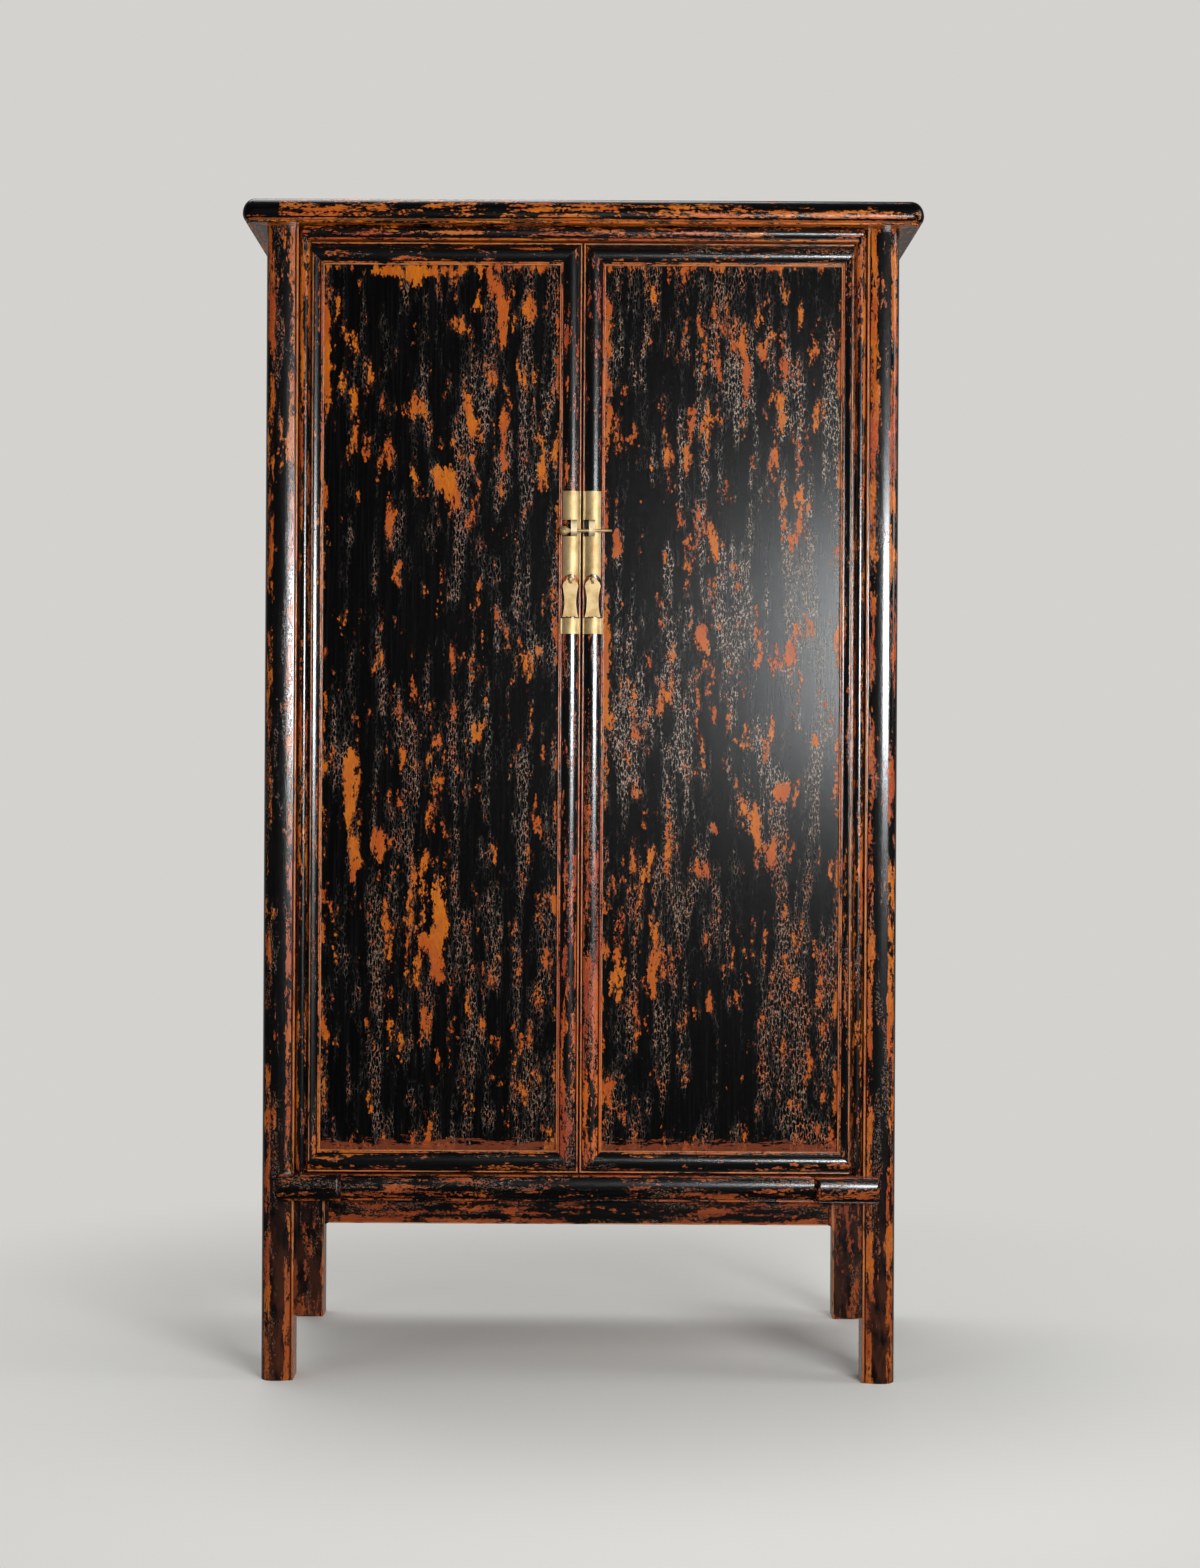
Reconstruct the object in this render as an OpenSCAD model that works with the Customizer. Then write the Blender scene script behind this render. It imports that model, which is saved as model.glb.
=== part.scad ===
/* [Cabinet] */
// Width over the outer faces of the posts
body_w = 956; // [900:1:1020]
// Depth over the outer faces of the posts
body_d = 500; // [460:1:560]
// Height from the floor to the top of the cap
total_h = 1773; // [1700:1:1850]

/* [Cap] */
// Thickness of the cap
cap_t = 37; // [34:1:42]
// Overhang of the cap past the posts at each side
cap_over_side = 32.5; // [26:0.5:40]
// Overhang of the cap past the posts at the front and the back
cap_over_front = 30; // [26:0.5:40]
// Width of the four rails of the cap frame
cap_rail_w = 88; // [80:1:100]
// Radius of the cap's corners, seen from above
cap_corner_r = 22; // [19:1:30]
// Thickness of the cap panel
cap_panel_t = 14; // [12:0.5:16]

/* [Posts] */
// Width of a post, seen from the front
post_w = 50; // [46:1:56]
// Depth of a post, seen from the side
post_d = 54; // [50:1:60]
// Exponent of the rounded outer corner of a post: 2 is an ellipse, more is squarer
post_round = 2.6; // [2:0.1:4]
// Width of the bead along the inner front edge of a post
post_bead_w = 3.2; // [2.4:0.1:4]

/* [Front rails] */
// Height of the front top rail's face
head_h = 21.5; // [18:0.5:26]
// Height of the front bottom rail
sill_h = 39.5; // [34:0.5:46]
// Height from the floor to the underside of the aprons
apron_z = 236; // [200:1:270]
// Height of the aprons below the bottom rails
apron_h = 36; // [30:1:44]
// Height from the floor to the lower end of the spandrels
spandrel_z = 97; // [70:1:130]
// Width of a spandrel, beside its post
spandrel_w = 45; // [38:1:52]
// Thickness of the aprons and spandrels
apron_t = 14; // [12:0.5:18]
// How far the pivot blocks stand proud of the bottom rail
block_proud = 8; // [6:0.5:10]
// Length of a pivot block inside its post
block_in = 74; // [60:1:90]
// Length of a pivot block lapped over its post
block_lap = 25; // [20:0.5:30]

/* [Doors] */
// Thickness of the door frames
door_t = 24; // [22:0.5:27]
// Width of the moulded frame members
frame_w = 33; // [31:0.5:36]
// Width of the moulded part of the pivot stiles
pivot_frame_w = 18; // [17:0.5:20]
// Height of the convex face of the frame members
crown_h = 4; // [3:0.1:4.4]
// Diameter of the pivot rods
rod_d = 16; // [15:0.5:17]
// Diameter of the pivot pins
pin_d = 10; // [9:0.5:11]
// Gap between a pivot rod and its post
rod_gap = 1.5; // [1.2:0.1:2.5]
// Width of the groove between a pivot rod and the door's frame
rod_groove = 3.5; // [3.2:0.1:4.5]
// Gap between the two doors
meet_gap = 2.4; // [2:0.1:4]
// Gap above the doors
door_top_gap = 2.5; // [2:0.1:4]
// Gap below the doors
door_foot_gap = 3; // [2.4:0.1:4]
// How far the doors' base face lies behind the posts' front
door_set_back = 3; // [2.5:0.1:4]
// Thickness of the door panels
panel_t = 10; // [9:0.5:11]

/* [Sides, back and inside] */
// Thickness of the side and back rails
rail_t = 28; // [24:0.5:32]
// Height of the side and back top rails
top_rail_h = 38; // [34:1:46]
// Thickness of the side panels
side_panel_t = 10; // [9:0.5:11]
// Thickness of the back panels
back_panel_t = 8; // [7:0.5:10]
// Width of the centre stile in the back
back_stile_w = 60; // [50:1:70]
// Thickness of the bottom board
floor_t = 14; // [12:0.5:16]
// Thickness of the shelves
shelf_t = 16; // [14:0.5:20]
// Height of the lower shelf's top above the floor
lower_shelf_z = 780; // [700:1:840]
// Height of the upper shelf's top above the floor
upper_shelf_z = 1248; // [1180:1:1320]

/* [Brass mounts] */
// Thickness of the brass sleeves
brass_t = 1.2; // [0.9:0.1:1.4]
// Height of the lock sleeves' lower end above the floor
sleeve_z = 1199; // [1190:1:1210]
// Length of the lock sleeves
sleeve_h = 140; // [130:1:150]
// Height of the foot bands' lower end above the floor
band_z = 1124.5; // [1115:0.5:1130]
// Length of the foot bands
band_h = 23.5; // [20:0.5:24]
// Height of the lock pin's axis above the floor
lock_z = 1279; // [1274:0.5:1282]
// Diameter of the lock pin
lock_pin_d = 5; // [4.4:0.1:5.4]
// Width of a lock staple
staple_w = 9; // [8:0.5:10]
// Height of a lock staple
staple_h = 25; // [22:0.5:27]
// Width of a pull at its shoulders and its foot
pull_w = 24; // [21:0.5:25]
// Width of a pull at its waist
pull_waist = 17.5; // [16:0.5:20]
// Thickness of a pull
pull_t = 1.8; // [1.4:0.1:2]

/* [Hidden] */
$fn = 64;

// Clearance of a tenon or tongue in its mortise or groove, all round
fit = 0.2;
// Space left past the end of a tenon or tongue
end_gap = 0.6;
tenon_t = 12;
tenon_l = 20;
groove_depth = 8.5;
tongue_l = groove_depth - end_gap;

fx = body_w / 2;
fy = body_d / 2;
cap_x = fx + cap_over_side;
cap_y = fy + cap_over_front;
cap_z = total_h - cap_t;
// Inner faces of the posts
in_x = fx - post_w;
in_y = fy - post_d;
// Outer faces of the side and back rails lie a little inside the posts
rail_set = 6;
side_out = fx - rail_set;
side_in = side_out - rail_t;
back_out = fy - rail_set;
back_in = back_out - rail_t;
// Middles of the side and back rails, where their tenons and grooves run
side_mid = (side_out + side_in) / 2;
back_mid = (back_out + back_in) / 2;

// Bottom rails
sill_z = apron_z + apron_h;
sill_top = sill_z + sill_h;
head_z = cap_z - head_h;
rail_z = cap_z - top_rail_h;
floor_z = sill_top - floor_t;
// Lower and upper ends of the tenons on the bottom and top rails, clear of the panels' grooves
low_tenon = [sill_z + 6, floor_z - 0.5];
top_tenon = [rail_z + groove_depth + 1.5, cap_z - 4];

// Doors
pivot_x = in_x - rod_gap - rod_d / 2;
door_y = -fy + door_set_back;
pivot_y = door_y + rod_d / 2 + 0.5;
door_back = door_y + door_t;
door_z0 = sill_top + door_foot_gap;
door_z1 = head_z - door_top_gap;
frame_x = pivot_x - rod_d / 2 - rod_groove;
panel_x1 = frame_x - pivot_frame_w;
meet_x = meet_gap / 2;
panel_x0 = meet_x + frame_w;
panel_z0 = door_z0 + frame_w;
panel_z1 = door_z1 - frame_w;
// Grooves for the door panels, behind the frame's base face
groove_y = 6;
stop_gap = 0.5;
stop_y = door_back + stop_gap;

// Pivot fit
pin_fit = 0.1;
pin_up = 16;
pin_down = 20;

// A circular arc from p to q as points, bowed by s to the right of the way from p to q
function bow(p, q, s, n = 8) =
  let (c = norm(q - p), u = (q - p) / c, v = [u[1], -u[0]], r = (c * c / 4 + s * s) / (2 * s),
       m = (p + q) / 2 + v * (s - r), a = asin(min(1, c / 2 / r)))
  [for (i = [0:n]) let (t = a * (2 * i / n - 1)) m + v * r * cos(t) + u * r * sin(t)];

// A block from one corner to the opposite one
module slab(a, b) { translate(a) cube(b - a); }

// A flat outline drawn in X and Z, from y0 back to y1
module board_y(y0, y1, pts) {
  translate([0, y1, 0]) rotate([90, 0, 0]) linear_extrude(y1 - y0) polygon(pts);
}

// A section drawn in Z and Y, run along X from x0 to x1
module run_x(x0, x1, pts) {
  translate([x1, 0, 0]) rotate([0, -90, 0]) linear_extrude(x1 - x0) polygon(pts);
}

module lacquer() { color([0.16, 0.08, 0.05]) children(); }
module bare_wood() { color([0.45, 0.30, 0.18]) children(); }
module brass() { color([0.80, 0.67, 0.42]) children(); }
module left() { mirror([1, 0, 0]) children(); }
module rear() { mirror([0, 1, 0]) children(); }

// Cap

// The thumb edge with its bead: first value is the way in from the cap's edge, second the height
edge_in = 18;
edge_up = 22;
edge_low = cap_t - edge_up;
bead_r = 1.7;
bead_in = 7.2;
// Rounded to a thousandth, so that the straight run and the turned corners meet exactly
function rounded(pts) = [for (p = pts) [round(p[0] * 1000) / 1000, round(p[1] * 1000) / 1000]];
function cap_edge() = rounded(concat(
  [[bead_in, 0]],
  [for (t = [15:30:165]) [bead_in - bead_r * sin(t), bead_r * (1 - cos(t))]],
  [[bead_in, 2 * bead_r], [bead_in + 0.6, 2 * bead_r + 0.6], [bead_in - 1.2, 2 * bead_r + 1]],
  let (x = bead_in - 1.2, z = 2 * bead_r + 1)
    [for (t = [15:15:90]) [x * (1 - sin(t)), z + (edge_low - z) * (1 - cos(t))]],
  [for (t = [7.5:7.5:90]) [edge_in * (1 - cos(t)), edge_low + edge_up * sin(t)]]
));

// The sector that carries the edge half way round a corner
module cap_corner_sector() {
  rotate([0, 0, -90]) rotate_extrude(angle = 45)
    polygon(concat([for (p = cap_edge()) [cap_corner_r - p[0], p[1]]], [[0, cap_t], [0, 0]]));
}

// One rail lying along X at the front of a cap of half-width hx and half-depth hy
module cap_rail(hx, hy) {
  run = hx - cap_corner_r;
  translate([0, -hy, cap_z]) {
    difference() {
      translate([-run, 0, 0]) rotate([90, 0, 90]) linear_extrude(2 * run)
        polygon(concat(cap_edge(), [[cap_rail_w, cap_t], [cap_rail_w, 0]]));
      for (s = [-1, 1]) translate([s * run, cap_corner_r, -1]) linear_extrude(cap_t + 2)
        polygon([[0, 0], [s * 2, 0], [s * 2, cap_rail_w], [-s * cap_rail_w, cap_rail_w]]);
      cap_groove(hx);
    }
    for (a = [0, 1]) mirror([a, 0, 0]) translate([run, cap_corner_r, 0]) cap_corner_sector();
  }
}

// Groove for the cap panel's tongue, on a rail's inner edge
cap_tongue_z = cap_t - 1 - cap_panel_t + 2;
cap_tongue_t = 8;
module cap_groove(hx) {
  slab([-hx, cap_rail_w - groove_depth, cap_tongue_z - fit / 2],
       [hx, cap_rail_w + 1, cap_tongue_z + cap_tongue_t + fit / 2]);
}

// Tenons on top of the posts, and the mortises for them
stub = 18;
stub_h = 22;
module post_stub(c = 0) {
  x = fx - post_w / 2;
  y = -fy + post_d / 2;
  slab([x - stub / 2 - c, y - stub / 2 - c, cap_z - 0.01 * sign(c)],
       [x + stub / 2 + c, y + stub / 2 + c, cap_z + stub_h + 3 * c]);
}
module all_post_stubs() {
  for (a = [0, 1], b = [0, 1]) mirror([a, 0, 0]) mirror([0, b, 0]) post_stub(fit);
}

// Battens under the cap panel
batten_x = 200;
batten_w = 34;
batten_z0 = cap_z + 2;
batten_z1 = total_h - 1 - cap_panel_t;
batten_tenon_z = batten_z1 - 10;
module cap_batten(c = 0) {
  slab([batten_x - batten_w / 2 + 4 - c, -cap_y + cap_rail_w - 14 - c, batten_z0 + 2 - c],
       [batten_x + batten_w / 2 - 4 + c, cap_y - cap_rail_w + 14 + c, batten_tenon_z + c]);
}
module cap_batten_mortises() { for (a = [0, 1]) mirror([a, 0, 0]) cap_batten(fit); }

module cap_front_rail() lacquer() difference() {
  cap_rail(cap_x, cap_y);
  all_post_stubs();
  cap_batten_mortises();
  for (s = [-1, 1]) translate([s * pivot_x, pivot_y, cap_z - 1])
    cylinder(d = pin_d + 2 * pin_fit, h = pin_up + 3);
}
module cap_back_rail() lacquer() difference() {
  rear() cap_rail(cap_x, cap_y);
  all_post_stubs();
  cap_batten_mortises();
}
module cap_side_rail() lacquer() difference() {
  rotate([0, 0, 90]) cap_rail(cap_y, cap_x);
  all_post_stubs();
}
module cap_right_rail() cap_side_rail();
module cap_left_rail() left() cap_side_rail();

module cap_panel() lacquer() {
  x = cap_x - cap_rail_w;
  y = cap_y - cap_rail_w;
  slab([-x + fit, -y + fit, total_h - 1 - cap_panel_t], [x - fit, y - fit, total_h - 1]);
  slab([-x - tongue_l, -y - tongue_l, cap_z + cap_tongue_z],
       [x + tongue_l, y + tongue_l, cap_z + cap_tongue_z + cap_tongue_t]);
}
module cap_battens() bare_wood() for (a = [0, 1]) mirror([a, 0, 0]) {
  slab([batten_x - batten_w / 2, -cap_y + cap_rail_w, batten_z0],
       [batten_x + batten_w / 2, cap_y - cap_rail_w, batten_z1]);
  cap_batten();
}

// Posts

// Section of a post: first value is the way in from the side face, second back from the front face.
// The crest lies nose in from the side; from there the face falls gently to the bead.
nose = 22;
flank = 32;
nose_fall = 4;
function post_section() =
  let (w = post_w - post_bead_w - 1.2, r = post_bead_w / 2)
  concat(
    [for (t = [0:6:90])
      [nose * (1 - pow(cos(t), 2 / post_round)), flank * (1 - pow(sin(t), 2 / post_round))]],
    [for (i = [1:8]) [nose + (w - nose) * i / 8, nose_fall * pow(i / 8, 2)]],
    [[w, nose_fall + 1.4], [w + 1.2, nose_fall + 1.4]],
    [for (t = [157.5:-22.5:22.5]) [post_w - r + r * cos(t), nose_fall + r * (1 - sin(t))]],
    [[post_w, nose_fall + r], [post_w, post_d], [0, post_d]]
  );

module post_blank() {
  translate([fx, -fy, 0]) linear_extrude(cap_z) polygon([for (p = post_section()) [-p[0], p[1]]]);
  post_stub();
}

// Tenons of the rails that meet the right-hand posts; c is the clearance round each
module head_tenon(c = 0) {
  slab([in_x - 1, stop_y - c, top_tenon[0] - c],
       [in_x + tenon_l + (c > 0 ? end_gap : 0), stop_y + tenon_t + c, top_tenon[1] + c]);
}
module sill_tenon(c = 0) {
  slab([in_x - 1, block_back + 2 - c, low_tenon[0] - c],
       [in_x + tenon_l + (c > 0 ? end_gap : 0), block_back + 2 + tenon_t + c, low_tenon[1] + c]);
}
module side_tenon(ends, c = 0) {
  slab([side_mid - tenon_t / 2 - c, -in_y - tenon_l - (c > 0 ? end_gap : 0), ends[0] - c],
       [side_mid + tenon_t / 2 + c, -in_y + 1, ends[1] + c]);
}
module back_tenon(ends, c = 0) {
  slab([in_x - 1, back_mid - tenon_t / 2 - c, ends[0] - c],
       [in_x + tenon_l + (c > 0 ? end_gap : 0), back_mid + tenon_t / 2 + c, ends[1] + c]);
}
module side_mortises() {
  side_tenon(top_tenon, fit);
  side_tenon(low_tenon, fit);
  slab([side_mid - side_panel_t / 2 - fit / 2, -in_y - groove_depth, sill_top - groove_depth],
       [side_mid + side_panel_t / 2 + fit / 2, -in_y + 1, rail_z + groove_depth]);
  side_apron_tongue(fit / 2);
}

module front_right_post() lacquer() difference() {
  post_blank();
  side_mortises();
  head_tenon(fit);
  sill_tenon(fit);
  spandrel_tongue(fit / 2);
  slab([in_x - 1, -fy - 1, sill_z], [in_x + block_lap, block_y + fit / 2, sill_top]);
}
module front_left_post() left() front_right_post();
module rear_right_post() lacquer() difference() {
  rear() post_blank();
  rear() side_mortises();
  back_tenon(top_tenon, fit);
  back_tenon(low_tenon, fit);
  back_apron_tongue(fit / 2);
  slab([in_x - 1, back_mid - back_panel_t / 2 - fit / 2, sill_top - groove_depth],
       [in_x + groove_depth, back_mid + back_panel_t / 2 + fit / 2, rail_z + groove_depth]);
}
module rear_left_post() left() rear_right_post();

// Front rails

// Section of the top rail's head, in Z and Y: a convex face above a bead
head_y = -fy - 4;
head_bead = 1.7;
function head_section(y1) = concat(
  [[head_z, y1]],
  [for (t = [0:30:180]) [head_z + head_bead * (1 - cos(t)), head_y + 1.5 - head_bead * sin(t)]],
  [[head_z + 2 * head_bead, head_y + 2.2], [head_z + 4.4, head_y + 2.2]],
  [for (i = [0:10]) let (k = i / 5 - 1)
    [head_z + 4.4 + (head_h - 4.4) * i / 10, head_y - 3 * (1 - k * k)]],
  [[cap_z, y1]]
);
// The head stops over each pivot rod, with a rounded end and its bead cut short
head_end = pivot_x + 4;
head_bead_end = pivot_x - 5;
module front_top_rail() lacquer() difference() {
  union() {
    intersection() {
      run_x(-head_end, head_end, head_section(stop_y + 1));
      translate([0, 0, head_z - 1]) linear_extrude(head_h + 2) polygon(concat(
        [[-head_end, 0], [-head_end, head_y + 3]],
        bow([-head_end, head_y + 2], [-head_end + 6, head_y - 4], 1.6, 5),
        bow([head_end - 6, head_y - 4], [head_end, head_y + 2], 1.6, 5),
        [[head_end, head_y + 3], [head_end, 0]]));
    }
    slab([-in_x, stop_y, rail_z], [in_x, -in_y - 5, cap_z]);
    head_tenon();
    left() head_tenon();
  }
  for (a = [0, 1]) mirror([a, 0, 0]) {
    translate([pivot_x, pivot_y, head_z - 1]) cylinder(d = rod_d + 1.4, h = head_h + 2);
    slab([head_bead_end, head_y - 10, head_z - 1], [head_end + 1, stop_y, head_z + 4.4]);
  }
}

// Bottom rail and pivot blocks: a convex face between two small beads
function sill_section(y, y1) =
  let (b = 3.2, q = 1, h = sill_h - 2 * (b + q))
  concat(
    [[sill_z, y1], [sill_z, y + b / 2]],
    [for (t = [0:36:180]) [sill_z + b / 2 * (1 - cos(t)), y + b / 2 - b / 2 * sin(t)]],
    [[sill_z + b, y + 2], [sill_z + b + q, y + 2]],
    [for (i = [0:10]) let (k = i / 5 - 1) [sill_z + b + q + h * i / 10, y + 1 - 4 * (1 - k * k)]],
    [[sill_top - b - q, y + 2], [sill_top - b, y + 2]],
    [for (t = [0:36:180]) [sill_top - b + b / 2 * (1 - cos(t)), y + b / 2 - b / 2 * sin(t)]],
    [[sill_top, y1]]
  );
sill_y = -fy - 1;
sill_back = -in_y - 5;
block_y = -fy + nose_fall + 2.5;
block_x0 = in_x - block_in;
block_x1 = in_x + block_lap;
block_back = pivot_y + pin_d / 2 + 7;
module block_tenon(c = 0) {
  slab([block_x0 + 14 - c, block_back - 1, sill_z + 10 - c],
       [block_x0 + 42 + c, block_back + 7 + c, sill_z + 24 + c]);
}
module front_bottom_rail() lacquer() {
  difference() {
    run_x(-in_x, in_x, sill_section(sill_y, sill_back));
    for (a = [0, 1]) mirror([a, 0, 0]) {
      slab([block_x0 - fit / 2, -fy - 20, sill_z - 1], [in_x + 1, block_back + fit / 2, sill_top + 1]);
      block_tenon(fit);
    }
    floor_tongue(fit / 2);
    apron_tongue(fit / 2);
  }
  slab([-in_x, stop_y, sill_top - 1], [in_x, stop_y + 10, sill_top + 10]);
  for (a = [0, 1]) mirror([a, 0, 0]) sill_tenon();
}
module pivot_block() lacquer() difference() {
  union() {
    intersection() {
      run_x(block_x0, block_x1, sill_section(sill_y - block_proud, block_back));
      translate([0, 0, sill_z - 1]) linear_extrude(sill_h + 2) polygon(concat(
        [[block_x0, block_back]],
        bow([block_x0, sill_y + 2], [block_x0 + 9, sill_y - block_proud - 0.5], 2.2, 6),
        [[block_x0 + 9, sill_y - block_proud - 4.5]],
        bow([block_x1 - 11, sill_y - block_proud - 4.5], [block_x1, sill_y - 1], 3, 6),
        [[block_x1, block_y], [in_x - fit / 2, block_y], [in_x - fit / 2, block_back]]));
      board_y(-fy - 30, 0, [
        [block_x0 - 1, sill_z], [block_x1 - 6, sill_z], [block_x1, sill_z + 7],
        [block_x1, sill_top - 7], [block_x1 - 6, sill_top], [block_x0 - 1, sill_top]]);
    }
    block_tenon();
  }
  translate([pivot_x, pivot_y, sill_top - pin_down - 2])
    cylinder(d = pin_d + 2 * pin_fit, h = pin_down + 4);
}
module right_pivot_block() pivot_block();
module left_pivot_block() left() pivot_block();

// Aprons and spandrels
apron_y = -fy + 9;
apron_tongue_t = 6;
apron_tongue_l = 6;
ear = 7;
spandrel_r = 15;
spandrel_in = in_x - spandrel_w;
apron_mid = apron_y + apron_t / 2;
module apron_tongue(c = 0) {
  l = apron_tongue_l + (c > 0 ? end_gap : 0);
  slab([-block_x0 + 10 - c, apron_mid - apron_tongue_t / 2 - c, sill_z - 1],
       [block_x0 - 10 + c, apron_mid + apron_tongue_t / 2 + c, sill_z + l]);
}
module front_apron() lacquer() {
  x = spandrel_in - ear;
  slab([-x, apron_y, apron_z], [x, apron_y + apron_t, sill_z]);
  apron_tongue();
}
// Outline of a hanging arm from its top outer corner round its foot to the apron's lower edge
function arm(x0, x1) = concat(
  [[x1, sill_z], [x1, spandrel_z]],
  [for (t = [0:15:90]) [x0 + spandrel_r * (1 - sin(t)), spandrel_z + spandrel_r * (1 - cos(t))]],
  [for (t = [0:15:90]) [x0 - ear * (1 - cos(t)), apron_z - ear * (1 - sin(t))]]
);
function flip(pts) = [for (i = [len(pts) - 1:-1:0]) [-pts[i][0], pts[i][1]]];
module spandrel_tongue(c = 0) {
  slab([in_x - 1, apron_mid - apron_tongue_t / 2 - c, spandrel_z + 14 - c],
       [in_x + apron_tongue_l + (c > 0 ? end_gap : 0), apron_mid + apron_tongue_t / 2 + c, sill_z - 10 + c]);
}
module front_right_spandrel() lacquer() {
  board_y(apron_y, apron_y + apron_t, concat(arm(spandrel_in, in_x), [[spandrel_in - ear, sill_z]]));
  spandrel_tongue();
}
module front_left_spandrel() left() front_right_spandrel();

// Sides
module side_rail(z0, z1, ends) {
  slab([side_in, -in_y, z0], [side_out, in_y, z1]);
  side_tenon(ends);
  rear() side_tenon(ends);
}
module side_top_rail() lacquer() difference() {
  side_rail(rail_z, cap_z, top_tenon);
  side_groove();
}
module side_bottom_rail() lacquer() difference() {
  side_rail(sill_z, sill_top, low_tenon);
  side_groove();
  floor_tongue(fit / 2);
}
module side_groove() {
  slab([side_mid - side_panel_t / 2 - fit / 2, -in_y - 1, sill_top - groove_depth],
       [side_mid + side_panel_t / 2 + fit / 2, in_y + 1, rail_z + groove_depth]);
}
module side_panel() lacquer()
  slab([side_mid - side_panel_t / 2, -in_y - tongue_l, sill_top - tongue_l],
       [side_mid + side_panel_t / 2, in_y + tongue_l, rail_z + tongue_l]);
module side_apron_tongue(c = 0) {
  l = apron_tongue_l + (c > 0 ? end_gap : 0);
  slab([side_mid - apron_tongue_t / 2 - c, -in_y - l, spandrel_z + 14 - c],
       [side_mid + apron_tongue_t / 2 + c, -in_y + 1, sill_z - 10 + c]);
}
module side_apron() lacquer() {
  outline = arm(in_y - spandrel_w, in_y);
  translate([side_mid - apron_t / 2, 0, 0]) rotate([90, 0, 90]) linear_extrude(apron_t)
    polygon(concat(outline, flip(outline)));
  side_apron_tongue();
  rear() side_apron_tongue();
}
module right_side_top_rail() side_top_rail();
module left_side_top_rail() left() side_top_rail();
module right_side_bottom_rail() side_bottom_rail();
module left_side_bottom_rail() left() side_bottom_rail();
module right_side_panel() side_panel();
module left_side_panel() left() side_panel();
module right_side_apron() side_apron();
module left_side_apron() left() side_apron();

// Back
module back_groove() {
  slab([-in_x - 1, back_mid - back_panel_t / 2 - fit / 2, sill_top - groove_depth],
       [in_x + 1, back_mid + back_panel_t / 2 + fit / 2, rail_z + groove_depth]);
}
module back_rail(z0, z1, ends) {
  slab([-in_x, back_in, z0], [in_x, back_out, z1]);
  for (a = [0, 1]) mirror([a, 0, 0]) back_tenon(ends);
}
module back_stile_tenons(c = 0) {
  slab([-back_stile_w / 2 + 12 - c, back_mid - tenon_t / 2 - c, sill_top - 16 - c],
       [back_stile_w / 2 - 12 + c, back_mid + tenon_t / 2 + c, rail_z + 16 + c]);
}
module back_top_rail() lacquer() difference() {
  back_rail(rail_z, cap_z, top_tenon);
  back_groove();
  back_stile_tenons(fit);
}
module back_bottom_rail() lacquer() difference() {
  back_rail(sill_z, sill_top, low_tenon);
  back_groove();
  back_stile_tenons(fit);
  floor_tongue(fit / 2);
}
module back_stile() lacquer() difference() {
  union() {
    slab([-back_stile_w / 2, back_in + 2, sill_top], [back_stile_w / 2, back_out - 2, rail_z]);
    back_stile_tenons();
  }
  for (s = [-1, 1]) slab([s > 0 ? back_stile_w / 2 - groove_depth : -back_stile_w / 2 - 1,
                          back_mid - back_panel_t / 2 - fit / 2, sill_top - 20],
                         [s > 0 ? back_stile_w / 2 + 1 : -back_stile_w / 2 + groove_depth,
                          back_mid + back_panel_t / 2 + fit / 2, rail_z + 20]);
}
module back_right_panel() bare_wood()
  slab([back_stile_w / 2 - tongue_l, back_mid - back_panel_t / 2, sill_top - tongue_l],
       [in_x + tongue_l, back_mid + back_panel_t / 2, rail_z + tongue_l]);
module back_left_panel() left() back_right_panel();
module back_apron_tongue(c = 0) {
  slab([in_x - 1, back_mid - apron_tongue_t / 2 - c, apron_z + 8 - c],
       [in_x + apron_tongue_l + (c > 0 ? end_gap : 0), back_mid + apron_tongue_t / 2 + c, sill_z - 10 + c]);
}
module back_apron() lacquer() {
  slab([-in_x, back_mid - apron_t / 2, apron_z], [in_x, back_mid + apron_t / 2, sill_z]);
  for (a = [0, 1]) mirror([a, 0, 0]) back_apron_tongue();
}

// Bottom board and shelves
floor_tongue_t = 8;
floor_tongue_l = 6;
module floor_tongue(c = 0) {
  l = floor_tongue_l + (c > 0 ? end_gap : 0);
  slab([-side_in - l, sill_back - l, floor_z + 3 - c],
       [side_in + l, back_in + l, floor_z + 3 + floor_tongue_t + c]);
}
module post_corners(gap) {
  for (a = [0, 1], b = [0, 1]) mirror([a, 0, 0]) mirror([0, b, 0])
    slab([in_x - gap, -fy - 50, 0], [fx + 50, -in_y + gap, total_h]);
}
module bottom_board() bare_wood() difference() {
  union() {
    slab([-side_in + fit, sill_back + fit, floor_z], [side_in - fit, back_in - fit, sill_top]);
    floor_tongue();
  }
  post_corners(fit);
}
shelf_y0 = -in_y + 4;
shelf_y1 = back_mid - back_panel_t / 2;
shelf_x = side_mid - side_panel_t / 2;
module shelf(z) bare_wood() difference() {
  slab([-shelf_x + fit, shelf_y0, z - shelf_t], [shelf_x - fit, shelf_y1 - fit, z]);
  post_corners(fit);
  slab([-back_stile_w / 2 - fit, back_in + 2 - fit, z - shelf_t - 1], [back_stile_w / 2 + fit, fy, z + 1]);
}
bearer_h = 26;
bearer_t = 18;
module bearers(z) bare_wood() for (a = [0, 1]) mirror([a, 0, 0])
  slab([shelf_x - bearer_t, -in_y + fit, z - shelf_t - bearer_h], [shelf_x, in_y - fit, z - shelf_t]);
module lower_shelf() shelf(lower_shelf_z);
module upper_shelf() shelf(upper_shelf_z);
module lower_shelf_bearers() bearers(lower_shelf_z);
module upper_shelf_bearers() bearers(upper_shelf_z);

// Doors

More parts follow.
